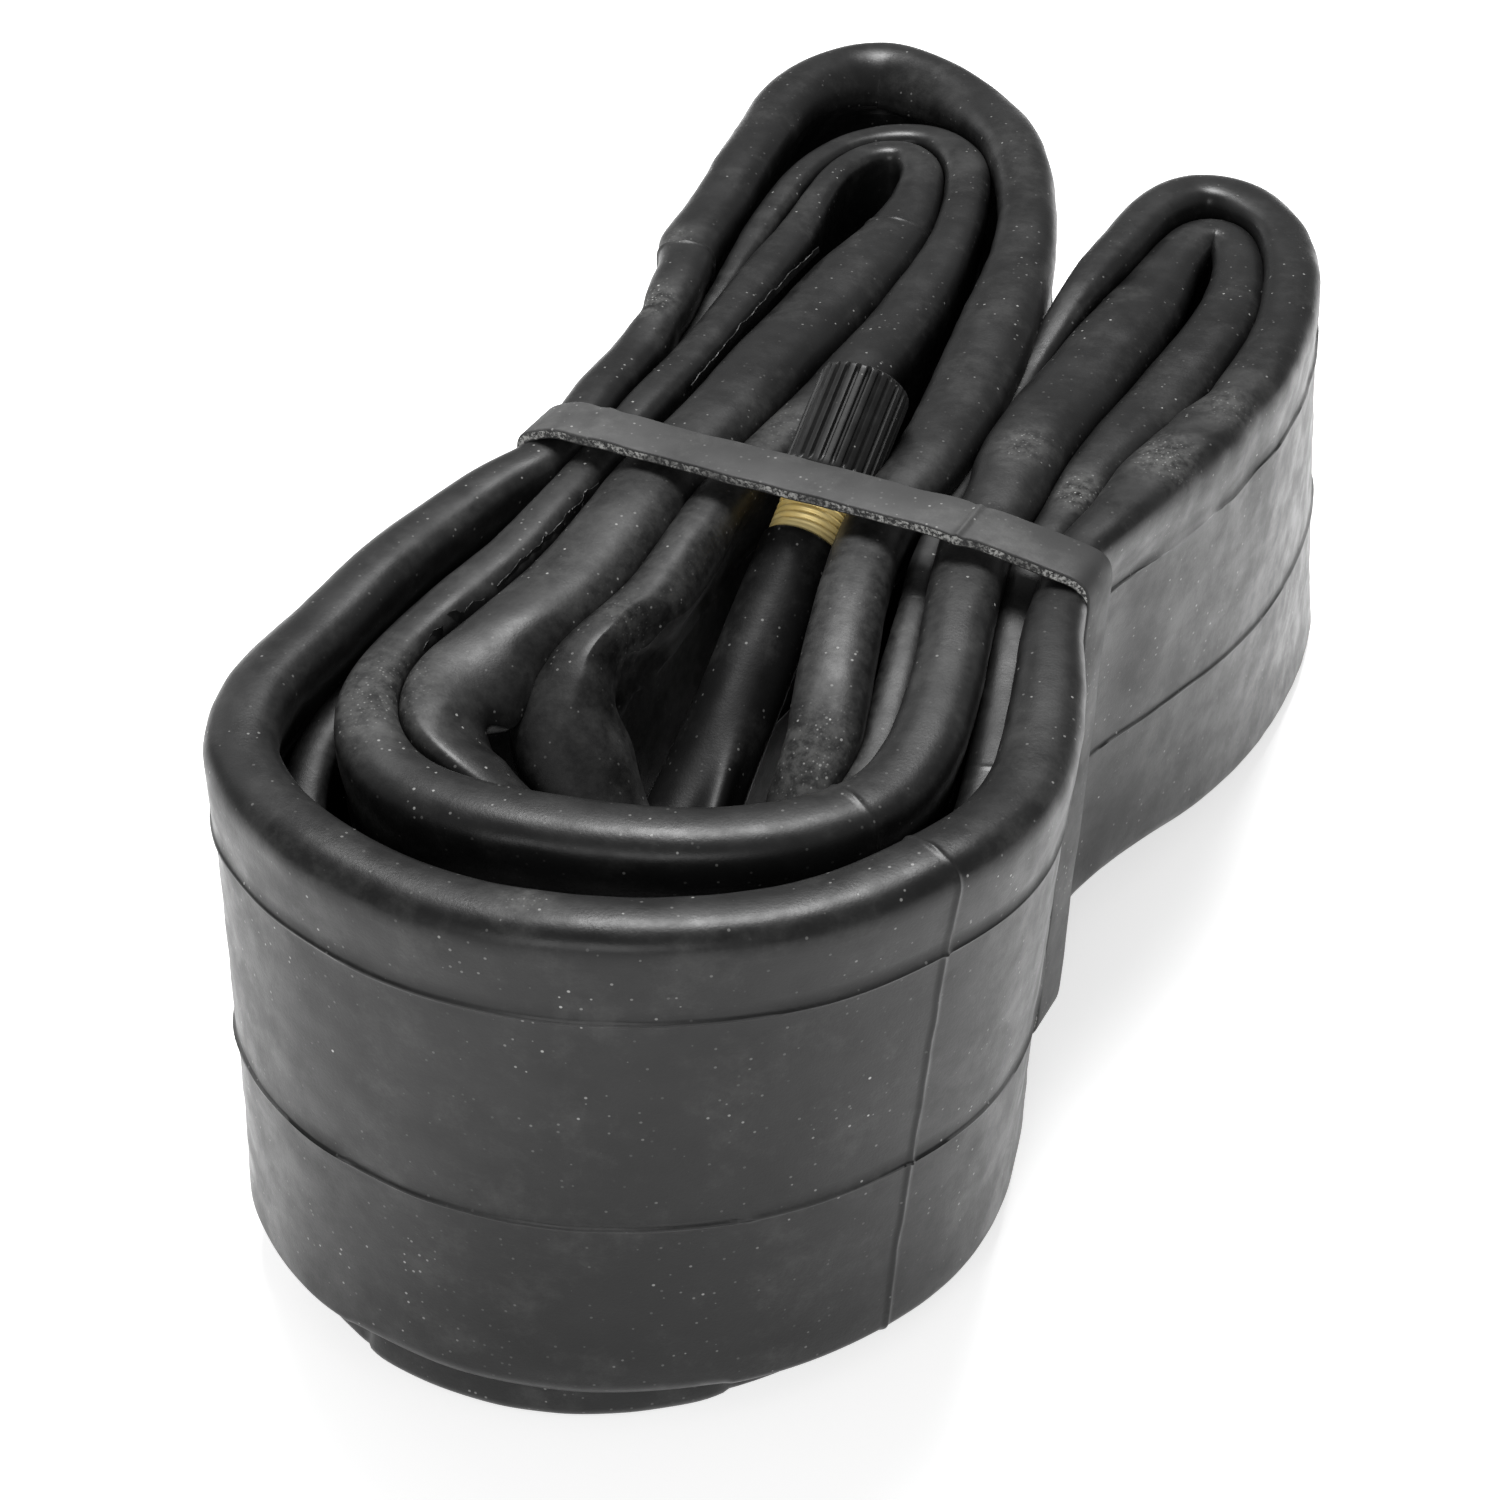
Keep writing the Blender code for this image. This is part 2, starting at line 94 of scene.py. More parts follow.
class Fold:
    """An end fold of the tube, from the strip it starts at, round to the next fold's strip.

    start is that strip's letter, top and bottom the heights of the upper and lower edges at
    the far end, and lean how far the lower edge is shifted there. The plan points are x, y,
    edge radius and, where it's special, the upper edge's height. foot_width scales the lower
    edge's spread, feet gives it point by point instead, and roll tips its height across x.
    """

    def __init__(self, start, top, bottom, lean, plan, foot_width=1.0, feet=None, roll=0.0):
        self.start = start
        self.top = top
        self.bottom = bottom
        self.lean = lean
        self.plan = plan
        self.foot_width = foot_width
        self.feet = feet
        self.roll = roll
        self.reach = max(abs(p[1]) for p in plan)


ROUTE = [
    Fold("a", 64.0, 4.2, (-5.2, 0.2), [
        (-29.6, -8, 3.0), (-31.8, -16, 3.3), (-33.4, -25, 3.4), (-34.8, -38, 3.5),
        (-35.4, -49, 3.5), (-32.0, -59, 3.5), (-22.5, -67, 3.5), (-12.0, -70.7, 3.6),
        (-1.0, -71.7, 3.7), (10.0, -69.8, 3.7), (20.5, -64.5, 3.7), (28.5, -57, 3.8),
        (34.5, -47, 3.8), (36.2, -37, 3.8), (34.6, -25, 3.6), (31.8, -13, 2.9)],
         foot_width=0.94, roll=0.04),
    Fold("k", 64.0, 0.5, (1.0, 18.0), [
        (32.6, 7.5, 3.1), (34.4, 16.5, 4.2), (36.1, 23.5, 4.3), (38.0, 31, 4.0),
        (39.6, 38, 3.7), (40.3, 45, 3.5), (40.3, 53, 3.3), (39.3, 61, 3.3),
        (37.4, 68.5, 3.4), (33.8, 76.0, 3.7),
        (28.6, 80.9, 4.0), (23.6, 80.9, 3.7), (20.2, 75, 3.0), (18.6, 66, 2.8), (17.2, 57, 2.6),
        (15.9, 45, 1.9, 61.5), (15.0, 33, 1.4, 60.0), (14.9, 18, 1.4, 59.5)],
         feet=[(27.2, 10, 7.0), (29.2, 19, 6.8), (32.2, 27, 6.0), (35.8, 36, 4.5),
               (38.6, 46, 3.0), (40.4, 56, 1.5), (41.4, 66, 0.6), (41.6, 77, 0),
               (40.0, 88, 0), (35.5, 95.5, 0),
               (29.0, 97.5, 0), (23.2, 93, 0), (20.2, 84, 0), (19.0, 73, 0), (18.3, 61, 0),
               (17.4, 47, 0), (17.0, 34, 0), (16.0, 18, 1.5)]),
    Fold("h", 57.5, 0.0, (-2.0, 4.0), [
        (16.8, -10, 1.7, 59.0), (18.6, -22, 2.2, 58.0), (19.8, -34, 2.3, 56.5),
        (18.5, -41.5, 2.4, 56.5), (13.0, -47.0, 2.4, 54.5), (5.0, -50, 2.4, 53.0),
        (-4.0, -51.4, 2.0, 56.0), (-12.0, -51.0, 1.7, 60.3), (-18.2, -48.8, 1.6, 61.6),
        (-21.9, -44.0, 1.6, 62.0), (-22.1, -37.5, 2.4, 62.4), (-17.2, -27.5, 5.1, 63.2),
        (-15.2, -17, 4.9, 63.6), (-14.4, -8, 4.9, 63.8)]),
    Fold("d", 62.0, 0.0, (0.0, 5.0), [
        (-12.7, 14, 4.6), (-11.9, 28, 4.8), (-10.8, 44, 5.2), (-9.8, 54, 5.0), (-8.8, 64, 4.2),
        (-8.9, 72, 3.1), (-10.4, 79, 2.6), (-13.6, 82.4, 2.4), (-17.6, 81.0, 2.3),
        (-19.8, 75, 2.1), (-20.1, 67, 2.1), (-19.7, 57, 2.6), (-19.6, 43, 2.8),
        (-19.8, 28, 2.5), (-20.6, 15, 2.4)]),
    Fold("b", 62.5, 0.0, (-2.0, 0.0), [
        (-21.9, -8, 2.3), (-22.9, -18, 2.7), (-25.2, -28, 2.7), (-26.6, -38, 2.7),
        (-25.4, -47, 3.0), (-20.0, -54, 3.5), (-11.0, -57.0, 3.9), (0.0, -56.6, 4.0),
        (10.0, -54.3, 3.9), (18.0, -50, 3.8), (23.5, -43.5, 3.7), (25.2, -35, 3.6),
        (24.3, -24, 3.5), (22.2, -12, 3.6)]),
    Fold("i", 62.6, 0.0, (1.0, 17.0), [
        (20.5, 9, 4.0), (19.9, 18, 4.8), (20.8, 30, 5.1), (22.1, 40, 5.1), (23.2, 49, 5.1),
        (24.0, 58, 4.3), (24.5, 66, 3.2), (26.0, 72.4, 3.0), (28.6, 74.0, 3.2), (31.3, 70.5, 3.2),
        (32.8, 64, 3.3), (33.3, 56, 3.6), (32.9, 48, 4.0), (31.6, 40, 4.2), (30.1, 31.5, 4.1),
        (28.6, 24, 3.5), (27.3, 16.5, 2.8), (26.8, 8, 2.4)]),
    Fold("j", 50.0, 0.0, (-4.0, -4.8), [
        (27.6, -12, 2.4, 59.5), (30.0, -25, 2.6, 58.0), (31.5, -37, 2.4, 57.0),
        (30.0, -45, 2.2, 57.0), (25.0, -53.5, 2.2, 54.0), (18.0, -60, 2.2, 51.0),
        (9.0, -65, 2.2), (-1.0, -67, 2.2), (-11.0, -66, 2.2), (-20.0, -62.5, 2.2, 51.0),
        (-28.0, -56, 2.2, 53.0), (-31.0, -48, 2.2, 56.0), (-30.6, -38, 1.8, 57.5),
        (-29.3, -26, 1.6, 57.5), (-27.0, -16, 1.2, 57.5), (-24.6, -8, 1.2, 57.5)]),
    Fold("x", 62.0, 0.0, (0.0, 6.0), [
        (-23.4, 20, 1.1, 58.5), (-23.4, 35, 1.1, 59.5), (-23.6, 48, 1.5, 61.0), (-24.1, 60, 1.9),
        (-23.0, 74, 2.3), (-20.4, 83, 2.4), (-15.0, 87.6, 2.5), (-9.5, 86.6, 2.6),
        (-5.0, 80.5, 2.8),
        (-2.5, 70, 2.8), (-1.3, 59, 3.0), (-1.2, 48, 3.8), (-1.9, 36, 4.5), (-2.9, 25, 4.3),
        (-5.1, 13, 3.2)]),
    Fold("e", 50.0, 7.0, (0.0, 26.7), [
        (-6.9, -8, 2.9, 62.8), (-7.4, -18, 3.1, 62.4), (-8.3, -25, 3.3, 62.0),
        (-9.3, -30.5, 3.6, 61.2), (-9.2, -36.5, 4.8, 58.5), (-4.5, -41.6, 5.0, 51.0),
        (3.0, -42.0, 4.5, 47.5), (9.6, -42.0, 3.8, 50.0), (14.0, -40.2, 3.5, 54.5),
        (15.0, -34.0, 3.6, 59.5), (13.4, -25, 3.7, 62.0), (11.3, -13, 3.5, 63.2)],
         foot_width=0.72),
    Fold("g", 64.0, 1.2, (0.0, 4.0), [
        (10.9, 10, 3.9), (11.2, 22, 4.6), (10.2, 38, 4.8), (9.0, 52, 4.4), (6.8, 65.5, 3.6),
        (2.6, 79, 3.6), (-3.2, 90.5, 3.8), (-10.2, 99, 3.9), (-18.0, 104.0, 3.9),
        (-24.6, 105.4, 4.0), (-29.6, 100, 3.9), (-32.1, 90, 3.7), (-31.2, 76, 3.6),
        (-30.2, 62, 3.5), (-29.6, 50, 3.4),
        (-27.2, 38, 3.0), (-26.0, 27, 2.8), (-26.3, 14, 2.7)]),
]
OPEN_FOLDS = ("a", "k", "g")     # their outer walls have nothing beside them

# Local shape of a folded edge: fold, place along it, reach, side (+1 is the tube's left),
# widening, and how far its top slopes down to that side (0 to 1).
SHAPES = [
    ("e", (-7.2, -14), 10.0, 1, 0.1, 0.5), ("e", (-8.2, -25), 3.2, 1, -1.8, 1.0),
    ("e", (-9.3, -30.5), 3.6, 1, -2.4, 1.0), ("e", (-9.0, -36.0), 3.4, 1, -0.6, 0.9),
    ("e", (-9.4, -35), 6.0, -1, 3.2, 0.3), ("x", (-1.7, 27), 20.0, -1, 0.2, 0.5),
    ("h", (-21.8, -38.5), 9.0, -1, 6.0, 0.6), ("h", (-17.0, -49.0), 6.0, -1, 3.2, 0.8),
    ("h", (-9.0, -51.0), 6.0, -1, 1.8, 0.6), ("k", (35.0, 18.5), 2.6, 1, 0.5, 0.0),
    ("k", (37.0, 26.5), 2.6, 1, -0.4, 0.0), ("g", (-29.9, 48.6), 3.6, -1, 0.7, 0.0),
    ("g", (-28.4, 42.5), 2.6, -1, -0.5, 0.0), ("g", (-22.0, 104.5), 16.0, 1, 2.0, 0.8),
]
# Dents and swellings of the skin: fold, place, reach, push outwards on both sides.
BUMPS = [
    ("k", (40.0, 34.0), 3.0, -0.5), ("k", (38.3, 28.0), 2.0, 0.3),
    ("k", (35.5, 19.5), 2.4, -0.25), ("g", (-26.3, 31.0), 3.0, -0.5),
]
# Joints moulded across the tube: fold, place along it and height of the bead.
SEAMS = [("a", (32.0, -52.3), 0.22), ("b", (21.8, -45.4), 0.20), ("j", (30.4, -31.5), 0.08),
         ("d", (-8.8, 64.0), 0.18), ("g", (-29.0, 45.0), 0.25), ("h", (17.0, -9.0), 0.07)]
# Puckers of the wall: middle, reach each way and height. FLOOR_GAP keeps the tube off the floor.
PUCKER_AT = (37.5, 23.0, 60.0)
PUCKER_REACH = (5.0, 7.0, 9.0)
PUCKER_HIGH = 0.14
FLOOR_GAP = 0.02
# Talc over the whole middle of the bundle: x, y, reach, strength.
TALC_MIDDLE = (2.0, -18.0, 24.0, 0.16)
# Pale rubbed or dusty places: x, y, z, reach in mm, strength. The first, on the g fold's dent, is
# a painted highlight; the others are talc.
RUBS_AND_SHINE = [(-27.2, 31.0, 63, 2.4, 0.6), (-30.5, 47.0, 62, 1.8, 0.4), (27.6, 12.0, 62, 2.2, 0.75),
        (20.5, 15.5, 63, 2.6, 0.45), (34.8, 18.5, 63, 3.0, 0.6), (38.5, 31.0, 62, 3.0, 0.35),
        (14.6, -36.0, 57, 4.5, 0.45), (3.5, -30.0, 46, 5.0, 0.35), (-8.6, -25.0, 59, 2.6, 0.4),
        (1.0, -71.0, 67, 2.2, 0.45), (-24.5, -46.0, 64, 6.0, 0.35),
        (-5.0, 12.0, 62, 4.0, 0.25)]


# ---- small helpers --------------------------------------------------------------
WAVES = 9                 # sines in a pseudo-random field
WAVE_SPREAD = 4.2         # brings their sum to about -1 to 1


def ease(value):
    """0 up to 0, 1 from 1 on, and smooth between."""
    value = np.clip(value, 0.0, 1.0)
    return value * value * (3.0 - 2.0 * value)


def gauss(value):
    """A bell: 1 at 0, and nearly 0 from 2 on."""
    return np.exp(-value * value)


def to_frame(points):
    """From the bundle's millimetres to the frame's metres."""
    return (np.asarray(points, dtype=float) - ORIGIN) * MM


def run_length(points):
    """Distance along a path up to each of its points."""
    return np.concatenate([[0.0], np.cumsum(np.linalg.norm(np.diff(points, axis=0), axis=1))])


def wave(points, scale, seed):
    """Smooth pseudo-random field of about -1 to 1 at points in mm, from a few sines."""
    rng = np.random.default_rng(seed)
    total = np.zeros(len(points))
    for _ in range(WAVES):
        way = rng.normal(size=3)
        way *= (0.6 + rng.random()) / (scale * np.linalg.norm(way))
        total += np.sin(points @ way * 2.0 * math.pi + rng.random() * 6.283)
    return total / WAVE_SPREAD


def smooth_ring(values, sigma, step):
    """Gaussian smoothing of closed samples that are step apart."""
    reach = int(4 * sigma / step) + 1
    kernel = gauss(np.arange(-reach, reach + 1) * step / (sigma * math.sqrt(2)))
    kernel /= kernel.sum()
    flat = values.reshape(len(values), -1)
    wide = np.concatenate([flat[-reach:], flat, flat[:reach]])
    out = [np.convolve(wide[:, k], kernel, mode="valid") for k in range(flat.shape[1])]
    return np.stack(out, axis=1).reshape(values.shape)


def mesh_object(name, points, faces, mats, body, sharp):
    """A smooth-shaded mesh that rides on a body; edges over sharp degrees stay sharp."""
    mesh = bpy.data.meshes.new(name)
    mesh.from_pydata([tuple(p) for p in points], [], faces)
    for mat in mats:
        mesh.materials.append(mat)
    obj = bpy.data.objects.new(name, mesh)
    bpy.context.scene.collection.objects.link(obj)
    mesh.shade_smooth()
    mesh.set_sharp_from_angle(angle=math.radians(sharp))
    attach(obj, body)
    return obj


def grid_faces(rows, columns, closed_rows, closed_columns):
    """Quads over a grid of points stored row by row."""
    faces = []
    for i in range(rows if closed_rows else rows - 1):
        here = i * columns
        following = ((i + 1) % rows) * columns
        for k in range(columns if closed_columns else columns - 1):
            m = (k + 1) % columns
            faces.append((here + k, here + m, following + m, following + k))
    return faces


# ---- materials -------------------------------------------------------------------
class Nodes:
    """Short hand for building one node material. Texture scales are per metre."""

    def __init__(self, name):
        self.mat = bpy.data.materials.new(name)
        self.mat.use_nodes = True
        self.tree = self.mat.node_tree
        self.shader = self.tree.nodes["Principled BSDF"]
        self.coords = self.tree.nodes.new("ShaderNodeTexCoord").outputs["Object"]

    def set(self, **values):
        for key, value in values.items():
            self.shader.inputs[key.replace("_", " ")].default_value = value

    def add(self, kind, **values):
        node = self.tree.nodes.new(kind)
        for key, value in values.items():
            setattr(node, key, value)
        return node

    def link(self, output, socket):
        self.tree.links.new(output, socket)

    def noise(self, scale, detail=3.0, rough=0.55):
        node = self.add("ShaderNodeTexNoise")
        node.inputs["Scale"].default_value = scale
        node.inputs["Detail"].default_value = detail
        node.inputs["Roughness"].default_value = rough
        self.link(self.coords, node.inputs["Vector"])
        return node.outputs["Fac"]

    def specks(self, scale, size, share):
        """Round dots: one cell in so many holds a dot of this size."""
        node = self.add("ShaderNodeTexVoronoi", feature="F1")
        node.inputs["Scale"].default_value = scale
        self.link(self.coords, node.inputs["Vector"])
        dot = self.ramp(node.outputs["Distance"], size, size * 0.6)
        pick = self.add("ShaderNodeSeparateColor")
        self.link(node.outputs["Color"], pick.inputs["Color"])
        chosen = self.maths("GREATER_THAN", pick.outputs["Red"], 1.0 - share)
        return self.maths("MULTIPLY", dot, self.maths("MULTIPLY", chosen, pick.outputs["Green"]))

    def attribute(self, name):
        return self.add("ShaderNodeAttribute", attribute_name=name).outputs["Fac"]

    def ramp(self, value, low, high, out_low=0.0, out_high=1.0):
        node = self.add("ShaderNodeMapRange")
        node.interpolation_type = "SMOOTHSTEP"
        node.inputs["From Min"].default_value = low
        node.inputs["From Max"].default_value = high
        node.inputs["To Min"].default_value = out_low
        node.inputs["To Max"].default_value = out_high
        self.link(value, node.inputs["Value"])
        return node.outputs["Result"]

    def maths(self, kind, a, b):
        node = self.add("ShaderNodeMath", operation=kind)
        for socket, value in zip(node.inputs, (a, b)):
            if isinstance(value, (int, float)):
                socket.default_value = value
            else:
                self.link(value, socket)
        return node.outputs[0]

    def mix(self, factor, a, b):
        node = self.add("ShaderNodeMix", data_type="RGBA")
        colors = [s for s in node.inputs if s.type == "RGBA"]
        self.link(factor, node.inputs[0])
        for socket, value in zip(colors, (a, b)):
            if isinstance(value, tuple):
                socket.default_value = (*value, 1.0)
            else:
                self.link(value, socket)
        return [s for s in node.outputs if s.type == "RGBA"][0]

    def bump(self, height, strength, distance, before=None):
        node = self.add("ShaderNodeBump")
        node.inputs["Strength"].default_value = strength
        node.inputs["Distance"].default_value = distance
        self.link(height, node.inputs["Height"])
        if before:
            self.link(before, node.inputs["Normal"])
        return node.outputs["Normal"]


def dusty_rubber(name, dark, light, dust, rough, shine, haze=0.10, with_rub_and_shine=False, share=0.34):
    """Black rubber with a cloudy tone, fine grain, a talc haze and specks of talc, and where the
    mask says, pale patches of rubbed talc and a painted highlight at one dent.
    """
    n = Nodes(name)
    cloud = n.ramp(n.noise(45.0, 4.0, 0.6), 0.36, 0.66)
    base = n.mix(cloud, dark, light)
    film = n.ramp(n.noise(120.0, 6.0, 0.75), 0.46, 0.75, 0.0, haze)
    base = n.mix(film, base, dust)
    if with_rub_and_shine:
        # Pale patches after the mask: rubbed talc, and at the g fold's dent a painted highlight.
        ragged = n.ramp(n.noise(700.0, 5.0, 0.7), 0.34, 0.66)
        rub_and_shine = n.maths("MULTIPLY", n.attribute("rub_and_shine"), ragged)
        base = n.mix(n.maths("MULTIPLY", rub_and_shine, 0.36), base, dust)
    patches = n.ramp(n.noise(60.0, 3.0, 0.6), 0.42, 0.64, 0.2, 1.0)
    fine = n.maths("MULTIPLY", n.specks(1150.0, 0.20, share), patches)
    large = n.specks(300.0, 0.055, 0.12)
    both = n.maths("MAXIMUM", n.maths("MULTIPLY", fine, 0.68), large)
    if with_rub_and_shine:
        rubbed = n.ramp(n.attribute("rub_and_shine"), 0.05, 0.6)
        dense = n.maths("MULTIPLY", n.specks(2300.0, 0.30, 0.6), rubbed)
        both = n.maths("MAXIMUM", both, n.maths("MULTIPLY", dense, 0.7))
    base = n.mix(both, base, dust)
    n.link(base, n.shader.inputs["Base Color"])
    gloss = n.ramp(n.noise(210.0, 5.0, 0.65), 0.3, 0.7, rough - 0.05, rough + 0.09)
    if with_rub_and_shine:
        gloss = n.maths("ADD", gloss, n.maths("MULTIPLY", n.attribute("rub_and_shine"), 0.9))
    n.link(gloss, n.shader.inputs["Roughness"])
    soft = n.bump(n.noise(150.0, 3.0, 0.5), 0.18, 0.0004)
    n.link(n.bump(n.noise(3200.0, 3.0, 0.6), 0.16, 0.0001, soft), n.shader.inputs["Normal"])
    n.set(Specular_IOR_Level=shine)
    return n.mat


def cut_edge(name):
    """The band's cut edge: granular, whitened with talc."""
    n = Nodes(name)
    grain = n.ramp(n.noise(2600.0, 4.0, 0.7), 0.44, 0.60)
    patch = n.ramp(n.noise(260.0, 3.0, 0.6), 0.35, 0.62, 0.25, 1.0)
    n.link(n.mix(n.maths("MULTIPLY", grain, patch), (0.06, 0.06, 0.06), (0.62, 0.62, 0.60)),
           n.shader.inputs["Base Color"])
    n.link(n.bump(n.noise(1900.0, 4.0, 0.7), 0.6, 0.0003), n.shader.inputs["Normal"])
    n.set(Roughness=0.8, Specular_IOR_Level=0.25)
    return n.mat


def brass(name):
    """Yellow brass, slightly tarnished."""
    n = Nodes(name)
    tone = n.ramp(n.noise(260.0, 3.0, 0.5), 0.35, 0.7)
    n.link(n.mix(tone, (0.93, 0.70, 0.24), (0.98, 0.80, 0.38)), n.shader.inputs["Base Color"])
    n.link(n.ramp(n.noise(900.0, 3.0, 0.6), 0.3, 0.7, 0.34, 0.50), n.shader.inputs["Roughness"])
    n.link(n.bump(n.noise(1800.0, 2.0, 0.5), 0.10, 0.00005), n.shader.inputs["Normal"])
    n.set(Metallic=0.25)
    return n.mat


def plastic(name):
    """The dust cap's black plastic, with a few specks of talc."""
    n = Nodes(name)
    tone = n.ramp(n.noise(300.0, 3.0, 0.6), 0.4, 0.75)
    base = n.mix(tone, (0.0055, 0.0055, 0.0055), (0.0105, 0.0105, 0.0105))
    n.link(n.mix(n.maths("MULTIPLY", n.specks(1300.0, 0.16, 0.2), 0.7), base, (0.5, 0.5, 0.48)),
           n.shader.inputs["Base Color"])
    n.link(n.ramp(n.noise(500.0, 3.0, 0.6), 0.3, 0.7, 0.36, 0.48), n.shader.inputs["Roughness"])
    n.link(n.bump(n.noise(1600.0, 3.0, 0.5), 0.10, 0.00006), n.shader.inputs["Normal"])
    n.set(Specular_IOR_Level=0.28)
    return n.mat


def steel(name):
    """The core's spring."""
    n = Nodes(name)
    tone = n.ramp(n.noise(400.0, 3.0, 0.6), 0.4, 0.7)
    n.link(n.mix(tone, (0.45, 0.45, 0.46), (0.62, 0.62, 0.63)), n.shader.inputs["Base Color"])
    n.set(Metallic=1.0, Roughness=0.3)
    return n.mat


def seal(name):
    """Red sealing rubber inside the valve."""
    n = Nodes(name)
    tone = n.ramp(n.noise(350.0, 3.0, 0.6), 0.4, 0.7)
    n.link(n.mix(tone, (0.22, 0.04, 0.03), (0.34, 0.07, 0.05)), n.shader.inputs["Base Color"])
    n.set(Roughness=0.6)
    return n.mat


# ---- the tube ------------------------------------------------------------------------
def control_rows():
    """For each plan point: upper x, y, z, lower x, y, z, edge radius, outer bulge, fold."""
    rows = []
    for number, fold in enumerate(ROUTE):
        start = WAIST[fold.start]
        end = WAIST[ROUTE[(number + 1) % len(ROUTE)].start]
        middle = 0.5 * (start[0] + end[0])
        far = max(range(len(fold.plan)), key=lambda i: abs(fold.plan[i][1]))
        front = fold.plan[far][1] < 0
        outer = 1.0 if (end[0] < start[0]) == front else -1.0
        points = [(start[0], 0.0, start[1])] + list(fold.plan)
        for i, (x, y, radius, *own) in enumerate(points):
            side = start if i <= far else end
            run = FULL_HEIGHT_AT * fold.reach - WAIST_REACH
            share = float(ease((abs(y) - WAIST_REACH) / run))
            tilt = abs(y) / fold.reach
            sway = tilt ** SWAY_POWER
            top = own[0] if own else side[2] + (fold.top - side[2]) * share
            foot = WAIST_FOOT + (fold.bottom - fold.roll * x - WAIST_FOOT) * share
            pinched = x * WAIST_PINCH
            spread = middle + (x - middle) * fold.foot_width + fold.lean[0]
            foot_x = pinched + (spread - pinched) * sway
            foot_y = y + fold.lean[1] * tilt
            if fold.feet and i > 0:
                foot_x, foot_y, foot = fold.feet[i - 1]
            elif i == 0:
                raised = float(ease((x - BAND_SIDE[0]) / BAND_SIDE[1]))
                foot = WAIST_FOOT + BAND_LIFT * raised
                foot_x = foot_x - BAND_PULL * raised
            bulge = float(ease((abs(y) - 3.0) / 14.0))
            bulge *= 1.0 if fold.start in OPEN_FOLDS else SHELTERED
            rows.append((x, y, top, foot_x, foot_y, foot, radius, outer * bulge, number))
    return np.array(rows)


def dense_route():
    """The control rows as an evenly sampled closed curve, each sample's fold, and the step."""
    rows = control_rows()
    fine = []
    count = len(rows)
    steps = np.arange(SUBSTEPS)[:, None] / SUBSTEPS
    for i in range(count):
        p0, p1, p2, p3 = (rows[(i + k - 1) % count] for k in range(4))
        bend = 2.0 * p0 - 5.0 * p1 + 4.0 * p2 - p3
        twist = 3.0 * p1 - p0 - 3.0 * p2 + p3
        part = 0.5 * (2.0 * p1 + (p2 - p0) * steps + bend * steps ** 2 + twist * steps ** 3)
        part[:, 8] = p1[8]
        fine.append(part)
    fine = np.concatenate(fine)
    loop = np.concatenate([fine, fine[:1]])
    length = run_length(loop[:, :2])
    number = int(round(length[-1] / STATION))
    at = np.arange(number) * length[-1] / number
    even = np.stack([np.interp(at, length, loop[:, k]) for k in range(8)], axis=1)
    fold = loop[np.clip(np.searchsorted(length, at, side="right") - 1, 0, len(loop) - 1), 8]
    step = length[-1] / number
    even[:, [0, 1, 3, 4]] = smooth_ring(even[:, [0, 1, 3, 4]], SMOOTH_PLAN, step)
    even[:, [2, 5, 6, 7]] = smooth_ring(even[:, [2, 5, 6, 7]], SMOOTH_HEIGHT, step)
    even[:, 5] = np.maximum(even[:, 5], 0.0)
    return even, fold, step


def side_vectors(plan):
    """Unit vectors to the left of a closed plan curve, and along it."""
    along = np.roll(plan, -1, axis=0) - np.roll(plan, 1, axis=0)
    along /= np.linalg.norm(along, axis=1)[:, None]
    return np.stack([-along[:, 1], along[:, 0]], axis=1), along


def room_beside(plan, height, radii, step):
    """Half thickness free for each folded edge on its left and on its right."""
    side, along = side_vectors(plan)
    count = len(plan)
    apart = np.abs(np.arange(count)[:, None] - np.arange(count)[None, :])
    apart = np.minimum(apart, count - apart) * step
    away = plan[None, :, :] - plan[:, None, :]
    across = away[:, :, 0] * side[:, None, 0] + away[:, :, 1] * side[:, None, 1]
    ahead = away[:, :, 0] * along[:, None, 0] + away[:, :, 1] * along[:, None, 1]
    step_down = np.abs(height[None, :] - height[:, None]) * STEP_SHARE
    step_down = np.minimum(step_down, STEP_MOST)
    beside = (apart > SAME_STRIP) & (np.abs(ahead) < LEVEL_WITH)
    facing = side @ side.T
    rooms = []
    for way, mine in ((1.0, radii[0]), (-1.0, radii[1])):
        same, other = (radii[1], radii[0]) if way > 0 else (radii[0], radii[1])
        theirs = np.where(facing > 0, same[None, :], other[None, :])
        share = (np.abs(across) - GAP + step_down) * mine[:, None] / (mine[:, None] + theirs)
        free = np.where(beside & (across * way > 0.4), share, FAR).min(axis=1)
        free = np.minimum(smooth_ring(np.minimum(free, mine), 1.5, step), free + 0.15)
        rooms.append(np.maximum(free, LEAST_ROOM))
    return rooms


def near_fold(points, fold, start, place):
    """Distance in plan from a place on one fold; far for every other fold."""
    number = [f.start for f in ROUTE].index(start)
    away = np.hypot(points[:, 0] - place[0], points[:, 1] - place[1])
    return np.where(fold == number, away, FAR)


def section_levels():
    """Heights along the wall from 0 to 1, closer together at the mould lines."""
    levels = list(np.linspace(0.0, 1.0, 33))
    levels += [0.94, 0.96, 0.972, 0.98, 0.986, 0.991, 0.995, 0.998]
    width, edge, wall = 62.0, 3.0, 56.5
    around = np.array([-1.0, -0.6, -0.36, -0.18, 0.0, 0.18, 0.36, 0.6, 1.0])
    for ridge in RIDGES:
        levels += list((ridge * width - edge) / wall + around / wall)
    return np.array(sorted(set(round(v, 5) for v in levels)))


